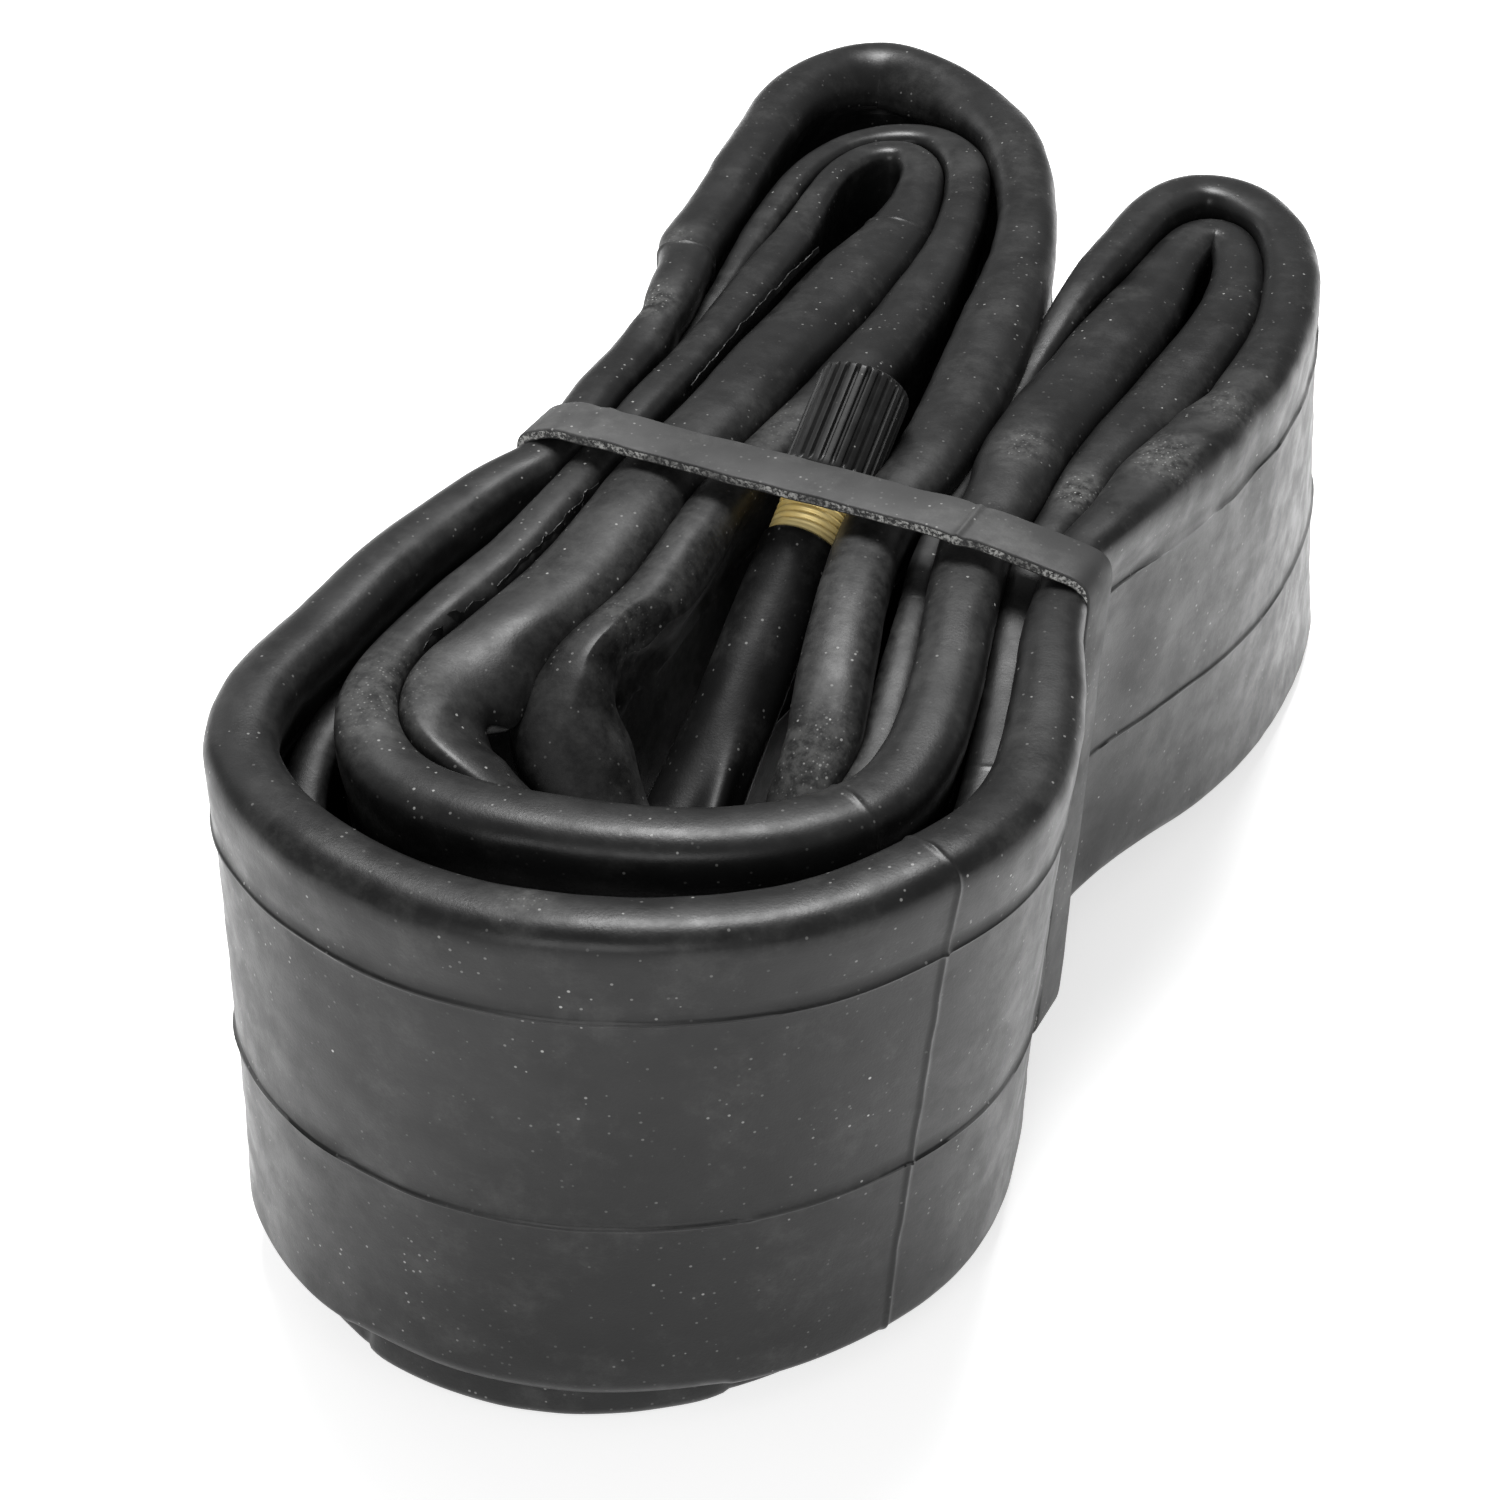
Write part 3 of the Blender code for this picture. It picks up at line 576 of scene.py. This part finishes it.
def edge_sizes(route, fold, step):
    """Half thickness of the upper and of the lower edge on each side, and the upper's slope."""
    count = len(route)
    left = route[:, 6].copy()
    right = route[:, 6].copy()
    slope = {1: np.zeros(count), -1: np.zeros(count)}
    for start, place, reach, way, wider, lean in SHAPES:
        weight = gauss(near_fold(route, fold, start, place) / reach)
        target = left if way > 0 else right
        target += wider * weight
        slope[way] = np.maximum(slope[way], lean * weight)
    top_room = room_beside(route[:, 0:2], route[:, 2], (left, right), step)
    low_edge = route[:, 6] * LOW_EDGE
    foot_room = room_beside(route[:, 3:5], route[:, 5], (low_edge, low_edge), step)
    return top_room, foot_room, slope


def stations(count, step, joints):
    """Places along the route that get a section: evenly, and closer together at each joint."""
    at = list(np.arange(count) * step)
    around = np.array([-0.9, -0.65, -0.45, -0.25, -0.1, 0.1, 0.25, 0.45, 0.65, 0.9])
    for middle, _ in joints:
        at += list(middle + around)
    return np.array(sorted(set(round(v % (count * step), 3) for v in at)))


def half_section(way, strip, low, low_high, rim, rim_high, lean, flush):
    """One side of every section, foot to top, as pairs of height and half thickness."""
    foot, up, width = strip
    arc = np.radians(np.linspace(0.0, 90.0, 13))
    power = 2.0 / (RIM_SQUARE - 1.0 * lean)
    fade = RIM_FADE - SLOPE_FADE * lean
    wall_high = width - rim_high
    part = []
    for angle in arc[::-1][:-1]:
        part.append((low_high * (1.0 - np.sin(angle)), low * np.cos(angle) ** 0.9))
    for level in section_levels():
        height = low_high + (wall_high - low_high) * level
        web = WEB + 0.20 * wave(foot + up * height[:, None], 19.0, 11 if way > 0 else 12)
        bulge = low + (rim - low) * (height / width)
        web = web + flush * np.maximum(bulge - web, 0.0)
        half = web + (rim - web) * gauss((wall_high - height) / fade)
        half = half + (low - web) * gauss((height - low_high) / RIM_FADE)
        half = half + SLOPE_LIP * lean * gauss((wall_high - height) / 0.30)
        for ridge in RIDGES:
            half = half + RIDGE_HIGH * gauss((height - ridge * width) / RIDGE_WIDE)
        part.append((height, half))
    for angle in arc[1:]:
        part.append((wall_high + rim_high * np.sin(angle) ** power,
                     rim * np.cos(angle) ** power))
    return part


def roughen(points):
    """Small unevenness all over, and puckers near the band, in place; none under the floor."""
    points += 0.05 * wave(points, 6.0, 21)[:, None] * np.array([1.0, 1.0, 0.3])
    away = (points - np.array(PUCKER_AT)) / np.array(PUCKER_REACH)
    ripple = np.sin((points[:, 0] * 0.5 - points[:, 1] * 0.85 + 1.5 * wave(points, 9.0, 5)) * 2.1)
    points[:, 2] += PUCKER_HIGH * gauss(np.linalg.norm(away, axis=1)) * ripple
    points[:, 2] = np.maximum(points[:, 2], FLOOR_GAP)


def talc(points):
    """How rubbed or dusty the skin is at each point, from 0 to 1; at the g fold's dent this is a
    painted highlight, not talc.
    """
    x, y, reach, strength = TALC_MIDDLE
    away = np.linalg.norm(points[:, :2] - np.array([x, y]), axis=1)
    rub_and_shine = strength * gauss(away / reach)
    for x, y, z, reach, strength in RUBS_AND_SHINE:
        away = (points - np.array([x, y, z])) * np.array([1.0, 0.7, 0.5])
        rub_and_shine = np.maximum(rub_and_shine, strength * gauss(np.linalg.norm(away, axis=1) / reach))
    return rub_and_shine


def build_tube(mat):
    """The folded tube as one closed mesh of sections across it, all along its route."""
    route, fold, step = dense_route()
    count = len(route)
    top_room, foot_room, slope = edge_sizes(route, fold, step)
    joints = []
    for start, place, high in SEAMS:
        nearest = int(np.argmin(near_fold(route, fold, start, place)))
        joints.append((nearest * step, high))
    at = stations(count, step, joints)
    grown = np.arange(count + 1) * step

    def spread(values):
        """Values of the route's samples, read at the stations."""
        return np.interp(at, grown, np.concatenate([values, values[:1]]))

    top = np.stack([spread(route[:, k]) for k in (0, 1, 2)], axis=1)
    foot = np.stack([spread(route[:, k]) for k in (3, 4, 5)], axis=1)
    outer = spread(route[:, 7])
    left_top, left_foot = side_vectors(route[:, 0:2])[0], side_vectors(route[:, 3:5])[0]
    side_top = np.stack([spread(left_top[:, k]) for k in (0, 1)], axis=1)
    side_foot = np.stack([spread(left_foot[:, k]) for k in (0, 1)], axis=1)
    top[:, 2] += 0.30 * wave(top, 26.0, 3)
    folds = fold[np.clip((at / step).astype(int), 0, count - 1)]
    bumps = np.zeros(len(at))
    for start, place, reach, push in BUMPS:
        bumps += push * gauss(near_fold(top, folds, start, place) / reach)
    seams = np.zeros(len(at))
    for middle, high in joints:
        seams += high * gauss((at - middle) / SEAM_WIDE)

    up = top - foot
    width = np.linalg.norm(up, axis=1)
    up /= width[:, None]
    rims = [spread(room) for room in top_room]
    lows = [spread(room) for room in foot_room]
    low_high = 0.5 * (lows[0] + lows[1]) * LOW_HIGH
    columns = []
    for way, rim, low in ((1, rims[0], lows[0]), (-1, rims[1], lows[1])):
        lean = spread(slope[way])
        rim_high = (rims[0] + rims[1]) * 0.5 * RIM_HIGH + SLOPE_HIGH * lean
        flush = np.clip(outer * way, 0.0, 1.0) * FLUSH
        part = half_section(way, (foot, up, width), low, low_high, rim, rim_high, lean, flush)
        if way < 0:
            part = part[::-1][1:-1]
        columns += [(height, half, way) for height, half in part]

    grid = np.empty((len(at), len(columns), 3))
    for k, (height, half, way) in enumerate(columns):
        share = (height / width)[:, None]
        side = side_foot + (side_top - side_foot) * share
        side /= np.linalg.norm(side, axis=1)[:, None]
        edge = np.clip(half / 1.2, 0.0, 1.0)
        half = half + (bumps * gauss((width - height) / BUMP_DEEP) + seams) * edge
        height = height + seams * (1.0 - edge) * np.sign(share[:, 0] - 0.5)
        grid[:, k, :] = foot + up * height[:, None]
        grid[:, k, :2] += side * (half * way)[:, None]
    points = grid.reshape(-1, 3)
    roughen(points)
    faces = grid_faces(len(at), len(columns), True, True)
    tube = mesh_object("inner_tube_rubber", to_frame(points), faces, [mat], "tube",
                       80.0)
    # The mask of rubbed talc, which at the g fold's dent is a painted highlight.
    tube.data.attributes.new("rub_and_shine", "FLOAT", "POINT").data.foreach_set("value", talc(points))
    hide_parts("inner_tube")


# ---- flash left by the mould -----------------------------------------------------------
# Name, path, height, lean to its side, seed of its ragged edge.
FLASH = [
    ("flash_front_fin", [(-19.3, -4.5, 62.2), (-20.0, -14, 62.0), (-21.8, -25, 61.6)],
     0.8, 0.3, 41),
    ("flash_front_crack", [(-22.2, -27, 61.4), (-23.6, -32, 61.2), (-24.4, -37.5, 61.0)],
     1.3, -0.3, 43),
    ("flash_back_fin", [(-15.0, 53, 62.0), (-16.6, 36, 62.2), (-17.3, 17, 62.4)], 0.55, 0.4, 47),
]
FIN_ROOT = 0.6            # how deep a fin is sunk in the tube
FIN_FOOT = 0.14           # its half thickness at its foot
FIN_TIP = 0.05            # and at its tip


def build_flash(name, path, high, lean, seed, mat):
    """A ragged thin fin standing along a path of (x, y, z) points in mm."""
    path = np.array(path, dtype=float)
    length = run_length(path)
    at = np.arange(0.0, length[-1], 0.25)
    line = np.stack([np.interp(at, length, path[:, k]) for k in range(3)], axis=1)
    rng = np.random.default_rng(seed)
    ragged = 0.55 + 0.45 * wave(line, 3.0, seed) + 0.25 * rng.random(len(at))
    fade = ease(at / 3.0) * ease((length[-1] - at) / 3.0)
    rise = high * np.clip(ragged, 0.1, 1.4) * fade + 0.02
    along = np.gradient(line[:, :2], axis=0)
    along /= np.linalg.norm(along, axis=1)[:, None]
    side = np.stack([-along[:, 1], along[:, 0], np.zeros(len(at))], axis=1)
    drift = lean + 0.4 * wave(line, 2.2, seed + 1)
    grid = []
    for k in range(len(at)):
        root = line[k] - np.array([0, 0, FIN_ROOT])
        tip = line[k] + np.array([0, 0, rise[k]]) + side[k] * drift[k] * rise[k]
        grid.append([root - side[k] * FIN_FOOT, tip - side[k] * FIN_TIP,
                     tip + side[k] * FIN_TIP, root + side[k] * FIN_FOOT])
    points = np.array(grid).reshape(-1, 3)
    faces = grid_faces(len(at), 4, False, True)
    mesh_object(name, to_frame(points), faces, [mat], "tube", 30.0)


# ---- the rubber band -------------------------------------------------------------------
BAND_HALF = 3.1           # half its width
BAND_THICK = 1.2
BAND_EDGE = 0.22          # rounding of its cut edges
BAND_CORNERS = [(-28.3, 1.3), (20.0, 1.3), (32.2, 4.2), (34.3, 64.0), (20.8, 65.6),
                (-25.5, 65.2), (-29.4, 63.6)]
BAND_ROUNDS = (3.4, 3.0, 3.4, 3.2, 1.2, 2.2, 2.2)
BAND_TURN = math.radians(-7.0)
BAND_Y = -1.5
BAND_TOP = 60.0           # its joint and its wrinkle are above this height
JOINT_X = 20.6
WRINKLE_X = -21.6
CUT_FACES = (7, 15)       # the faces of a section that are its cut edges


def band_line():
    """The band's middle line in its own plane, with its corners rounded."""
    corners = [np.array(c) for c in BAND_CORNERS]
    count = len(corners)
    line = []
    for i, corner in enumerate(corners):
        back = corners[i - 1] - corner
        on = corners[(i + 1) % count] - corner
        gap = np.linalg.norm(on)
        back, on = back / np.linalg.norm(back), on / gap
        reach = BAND_ROUNDS[i]
        for t in np.linspace(0.0, 1.0, 13):
            before = (corner + back * reach * (1 - t)) * (1 - t)
            after = (corner + on * reach * t) * t
            line.append(before + after + (corner - before - after) * 2 * t * (1 - t) * 0.5)
        following = BAND_ROUNDS[(i + 1) % count]
        for d in np.arange(reach + 0.6, gap - following - 0.3, 0.6):
            line.append(corner + on * d)
    return np.array(line)


def build_band(mat, edge_mat):
    """A flat band swept round the waist: a joint, a wrinkle and granular cut edges."""
    line = band_line()
    along = np.roll(line, -1, axis=0) - np.roll(line, 1, axis=0)
    along /= np.linalg.norm(along, axis=1)[:, None]
    out = np.stack([along[:, 1], -along[:, 0]], axis=1)
    wide = BAND_HALF - BAND_EDGE
    thick = 0.5 * BAND_THICK - BAND_EDGE
    profile = []
    for cy, ct, start in ((1, 1, 0), (-1, 1, 90), (-1, -1, 180), (1, -1, 270)):
        for a in np.radians(np.linspace(start, start + 90, 4)):
            profile.append((cy * wide + BAND_EDGE * math.cos(a),
                            ct * thick + BAND_EDGE * math.sin(a)))
    cos, sin = math.cos(BAND_TURN), math.sin(BAND_TURN)
    points = []
    for p, n in zip(line, out):
        joint = wrinkle = shift = 0.0
        if p[1] > BAND_TOP:
            joint = 0.28 * math.exp(-((p[0] - JOINT_X) / 0.35) ** 2)
            wrinkle = 0.30 * math.exp(-((p[0] - WRINKLE_X) / 0.8) ** 2)
            shift = 0.35 * math.exp(-((p[0] - JOINT_X) / 1.0) ** 2)
        for y, t in profile:
            lift = (joint + wrinkle * (0.4 + 0.2 * y)) if t > 0 else 0.0
            flat = p + n * (t + lift)
            points.append((flat[0] * cos - (y - shift) * sin,
                           flat[0] * sin + (y - shift) * cos + BAND_Y, flat[1]))
    points = np.array(points)
    points += 0.07 * wave(points, 7.0, 31)[:, None]
    faces = grid_faces(len(line), len(profile), True, True)
    band = mesh_object("rubber_band_looped", to_frame(points), faces, [mat, edge_mat], "tube",
                       50.0)
    columns = len(profile)
    for number, face in enumerate(band.data.polygons):
        if number % columns in CUT_FACES:
            face.material_index = 1
    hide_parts("rubber_band")


# ---- the valve ---------------------------------------------------------------------------
VALVE_END = np.array([2.0, -1.8, 57.5])   # where the rubber cover ends
VALVE_LIFT = math.radians(28.0)
VALVE_SWING = math.radians(3.0)


def valve_matrix():
    """From the valve's own axes, with z along the stem from the cover's end, to the frame."""
    flat = math.cos(VALVE_LIFT)
    axis = Vector((math.sin(VALVE_SWING) * flat, math.cos(VALVE_SWING) * flat,
                   math.sin(VALVE_LIFT)))
    turn = Vector((0, 0, 1)).rotation_difference(axis).to_matrix().to_4x4()
    return Matrix.Translation(Vector(to_frame(VALVE_END))) @ turn


def valve_piece(name, grid, mat, body, sharp=35.0):
    """A lofted piece about the stem; grid rows are rings in mm, first to last."""
    rows, columns = grid.shape[:2]
    faces = grid_faces(rows, columns, False, True)
    points = grid.reshape(-1, 3) * MM
    move = np.array(valve_matrix())
    points = points @ move[:3, :3].T + move[:3, 3]
    return mesh_object(name, points, faces, [mat], body, sharp)


def rings(outline, columns, shape=None):
    """Rings about the stem from (radius, s) points; shape changes a radius by angle and s."""
    grid = np.empty((len(outline), columns, 3))
    angles = np.arange(columns) * 2.0 * math.pi / columns
    for i, (radius, s) in enumerate(outline):
        reach = np.full(columns, float(radius))
        if shape:
            reach = shape(reach, angles, s)
        grid[i, :, 0] = reach * np.cos(angles)
        grid[i, :, 1] = reach * np.sin(angles)
        grid[i, :, 2] = s
    return grid


CAP_R = 5.0
CAP_BORE = 4.15
CAP_MOUTH = 7.0           # distances along the stem, from the rubber cover's end
CAP_END = 20.0
CAP_RIBS = 26
CAP_GROOVE = 0.19         # half the depth of the grooves between the ribs


def build_cap(mat):
    """The ribbed dust cap, open at its mouth."""
    def ribbed(reach, angles, s):
        if reach[0] < 4.4:
            return reach
        fade = ease((s - CAP_MOUTH - 0.6) / 0.5) * ease((CAP_END - 0.1 - s) / 0.8)
        groove = np.clip(2.2 * np.cos(angles * CAP_RIBS) + 0.9, -1.0, 1.0)
        return reach - CAP_GROOVE * fade * (1.0 - groove)

    outline = [(0.01, CAP_END - 0.22), (1.5, CAP_END - 0.22), (3.3, CAP_END - 0.2),
               (3.6, CAP_END - 0.05), (CAP_R - 0.6, CAP_END), (CAP_R - 0.3, CAP_END - 0.04),
               (CAP_R - 0.1, CAP_END - 0.2), (CAP_R - 0.02, CAP_END - 0.45)]
    outline += [(CAP_R, s) for s in np.linspace(CAP_END - 0.7, CAP_MOUTH + 0.5, 26)]
    outline += [(4.95, CAP_MOUTH + 0.2), (4.7, CAP_MOUTH), (4.3, CAP_MOUTH),
                (CAP_BORE, CAP_MOUTH + 0.2), (CAP_BORE, CAP_END - 1.5), (4.1, CAP_END - 1.3),
                (0.01, CAP_END - 1.3)]
    grid = rings(outline[::-1], 12 * CAP_RIBS, ribbed)
    cap = valve_piece("dust_cap_ribbed", grid, mat, "cap")
    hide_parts("dust_cap")


FLARE_END = -45.0         # the stem's root, where it flares out into its pad
PAD_REACH = 8.0           # how far up the flare the pad is feathered
BORE = 3.3                # bore of the rubber cover
TENT_TURN = math.radians(306.0)   # where round the stem its cover is pulled up to a ridge


def flare(s):
    """The rubber cover's radius at s along the stem."""
    return 4.22 + 3.4 * math.exp(-(s - FLARE_END) / 7.0)


def build_pad(mat):
    """The pad that joins the stem to the tube, feathered out over the stem's flare."""
    top = FLARE_END + PAD_REACH
    outline = [(3.6, FLARE_END + 0.5), (3.6, FLARE_END - 0.6),
               (flare(FLARE_END) + 0.8, FLARE_END - 0.6)]
    for s in np.linspace(FLARE_END, top, 12):
        outline.append((flare(s) + 0.5 * (top - s) / PAD_REACH, s))
    outline.append((flare(top) - 0.5, top - 0.2))
    outline.append(outline[0])
    pad = valve_piece("valve_pad_feathered", rings(outline, 96), mat, "tube")
    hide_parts("valve_base_patch")


def build_stem(mat):
    """The stem's rubber cover, with a ridge pulled up near its root."""
    def shape(reach, angles, s):
        if reach[0] < 4.0:
            return reach
        ridge = np.arccos(np.clip(np.cos(angles - TENT_TURN), -1.0, 1.0))
        tent = 2.3 * gauss((s + 38.0) / 10.0) * gauss(ridge / 0.28)
        return reach + tent + 0.05 * np.sin(3 * angles + s * 0.3)

    outline = [(BORE, -29.0), (BORE, FLARE_END + 5.0), (5.0, FLARE_END)]
    outline += [(flare(s), s) for s in np.linspace(FLARE_END, -0.5, 90)]
    outline += [(4.20, -0.3), (4.10, -0.1), (3.92, 0.0), (BORE, 0.0)]
    stem = valve_piece("valve_stem_cover", rings(outline, 96, shape), mat, "tube")
    rub_and_shine = np.zeros(len(stem.data.vertices))
    stem.data.attributes.new("rub_and_shine", "FLOAT", "POINT").data.foreach_set("value", rub_and_shine)
    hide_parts("valve_stem_rubber")


BRASS_R = 3.85
THREAD_PITCH = 0.794
THREAD_DEEP = 0.26


def build_brass(mat):
    """The brass stem with its thread as a helix."""
    def thread(reach, angles, s):
        if reach[0] < 3.6:
            return reach
        phase = (s / THREAD_PITCH - angles / (2.0 * math.pi)) % 1.0
        tooth = np.abs(phase - 0.5) * 2.0
        fade = ease((s - 0.5) / 0.6) * ease((17.7 - s) / 0.8)
        return reach - THREAD_DEEP * fade * np.clip(tooth * 1.5 - 0.3, 0.0, 1.0)

    outline = [(1.70, -28.7), (3.0, -28.7), (3.0, 0.1), (3.6, 0.2)]
    outline += [(BRASS_R, s) for s in np.arange(0.3, 17.9, 0.1)]
    outline += [(3.5, 18.0), (2.70, 18.0), (2.70, 13.6), (1.70, 12.0)]
    grid = rings(outline, 72, thread)
    stem = valve_piece("valve_stem_threaded", grid, mat, "tube", 60.0)
    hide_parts("valve_stem_brass")


# ---- studio ---------------------------------------------------------------------------------
MIDDLE = (0.0, 0.0, 0.04)
# Name, place, size in metres, watts.
LIGHTS = [
    ("top_softbox", (-0.10, 0.30, 0.85), (0.34, 0.34), 10.5),
    ("front_fill", (0.10, -0.95, 0.45), (0.7, 0.5), 4.2),
    ("back_left", (-0.8, 0.5, 0.5), (0.5, 0.7), 1.0),
]
WORLD_STRENGTH = 0.28
FLOOR_HALF = 60.0         # large enough that no view shows its end
FLOOR_GLOW = 0.6
CAMERA_AT = (85.85, -247.6, 226.85)       # in the bundle's millimetres
CAMERA_DOWN = 37.0
CAMERA_TURN = 20.0
LENS = 72.0


def area_light(name, place, target, size, power):
    """A rectangular light at a place, turned to its target."""
    data = bpy.data.lights.new(name, "AREA")
    data.shape = "RECTANGLE"
    data.size = size[0]
    data.size_y = size[1]
    data.energy = power
    obj = bpy.data.objects.new(name, data)
    bpy.context.scene.collection.objects.link(obj)
    obj.location = place
    obj.rotation_euler = (Vector(target) - Vector(place)).to_track_quat("-Z", "Y").to_euler()


def build_studio():
    """A pale floor, a plain sky and soft lights."""
    floor_mesh = bpy.data.meshes.new("floor")
    far = FLOOR_HALF
    corners = [(-far, -far, 0), (far, -far, 0), (far, far, 0), (-far, far, 0)]
    floor_mesh.from_pydata(corners, [], [(0, 1, 2, 3)])
    n = Nodes("pale_floor")
    tone = n.ramp(n.noise(3.0, 2.0, 0.5), 0.3, 0.7)
    n.link(n.mix(tone, (0.90, 0.90, 0.90), (0.92, 0.92, 0.92)), n.shader.inputs["Base Color"])
    n.set(Roughness=0.8, Specular_IOR_Level=0.2, Emission_Color=(1.0, 1.0, 1.0, 1.0),
          Emission_Strength=FLOOR_GLOW)
    floor_mesh.materials.append(n.mat)
    floor = bpy.data.objects.new("floor", floor_mesh)
    bpy.context.scene.collection.objects.link(floor)
    world = bpy.data.worlds.new("studio")
    bpy.context.scene.world = world
    world.use_nodes = True
    sky = world.node_tree.nodes["Background"]
    sky.inputs["Color"].default_value = (1.0, 1.0, 1.0, 1.0)
    sky.inputs["Strength"].default_value = WORLD_STRENGTH
    for name, place, size, power in LIGHTS:
        area_light(name, place, MIDDLE, size, power)
    bpy.context.scene.view_settings.view_transform = "Standard"


def build_camera():
    """The camera, looking down at the bundle from its front right."""
    data = bpy.data.cameras.new("camera")
    data.sensor_width = 36.0
    data.lens = LENS
    data.clip_start = 0.01
    data.clip_end = 20.0
    cam = bpy.data.objects.new("camera", data)
    bpy.context.scene.collection.objects.link(cam)
    cam.location = Vector(to_frame(CAMERA_AT))
    cam.rotation_euler = (math.radians(90.0 - CAMERA_DOWN), 0.0, math.radians(CAMERA_TURN))
    bpy.context.scene.camera = cam


def main():
    dust = (0.40, 0.40, 0.39)
    rubber = dusty_rubber("butyl_rubber", (0.0062, 0.0062, 0.0063), (0.0098, 0.0099, 0.0100),
                          dust, 0.35, 0.28, haze=0.05, with_rub_and_shine=True)
    stem_rubber = dusty_rubber("stem_rubber", (0.0055, 0.0055, 0.0056),
                               (0.0085, 0.0085, 0.0086), dust, 0.42, 0.22, haze=0.05, with_rub_and_shine=True)
    band_rubber = dusty_rubber("band_rubber", (0.028, 0.028, 0.028), (0.054, 0.054, 0.054),
                               dust, 0.55, 0.30, share=0.6)
    metal = brass("yellow_brass")
    red = seal("seal_rubber")
    build_tube(rubber)
    for name, path, high, lean, seed in FLASH:
        build_flash(name, path, high, lean, seed, rubber)
    build_band(band_rubber, cut_edge("band_cut_edge"))
    build_stem(stem_rubber)
    build_pad(stem_rubber)
    build_brass(metal)
    build_cap(plastic("black_plastic"))
    finishes = {"core_plug": metal, "core_barrel": metal, "core_gasket": red,
                "core_pin": metal, "core_spring": steel("spring_steel"), "core_cup": metal,
                "core_seat_washer": red, "cap_washer": red}
    for node, mat in finishes.items():
        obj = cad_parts[node]
        obj.data.materials.clear()
        obj.data.materials.append(mat)
    build_studio()
    build_camera()


main()
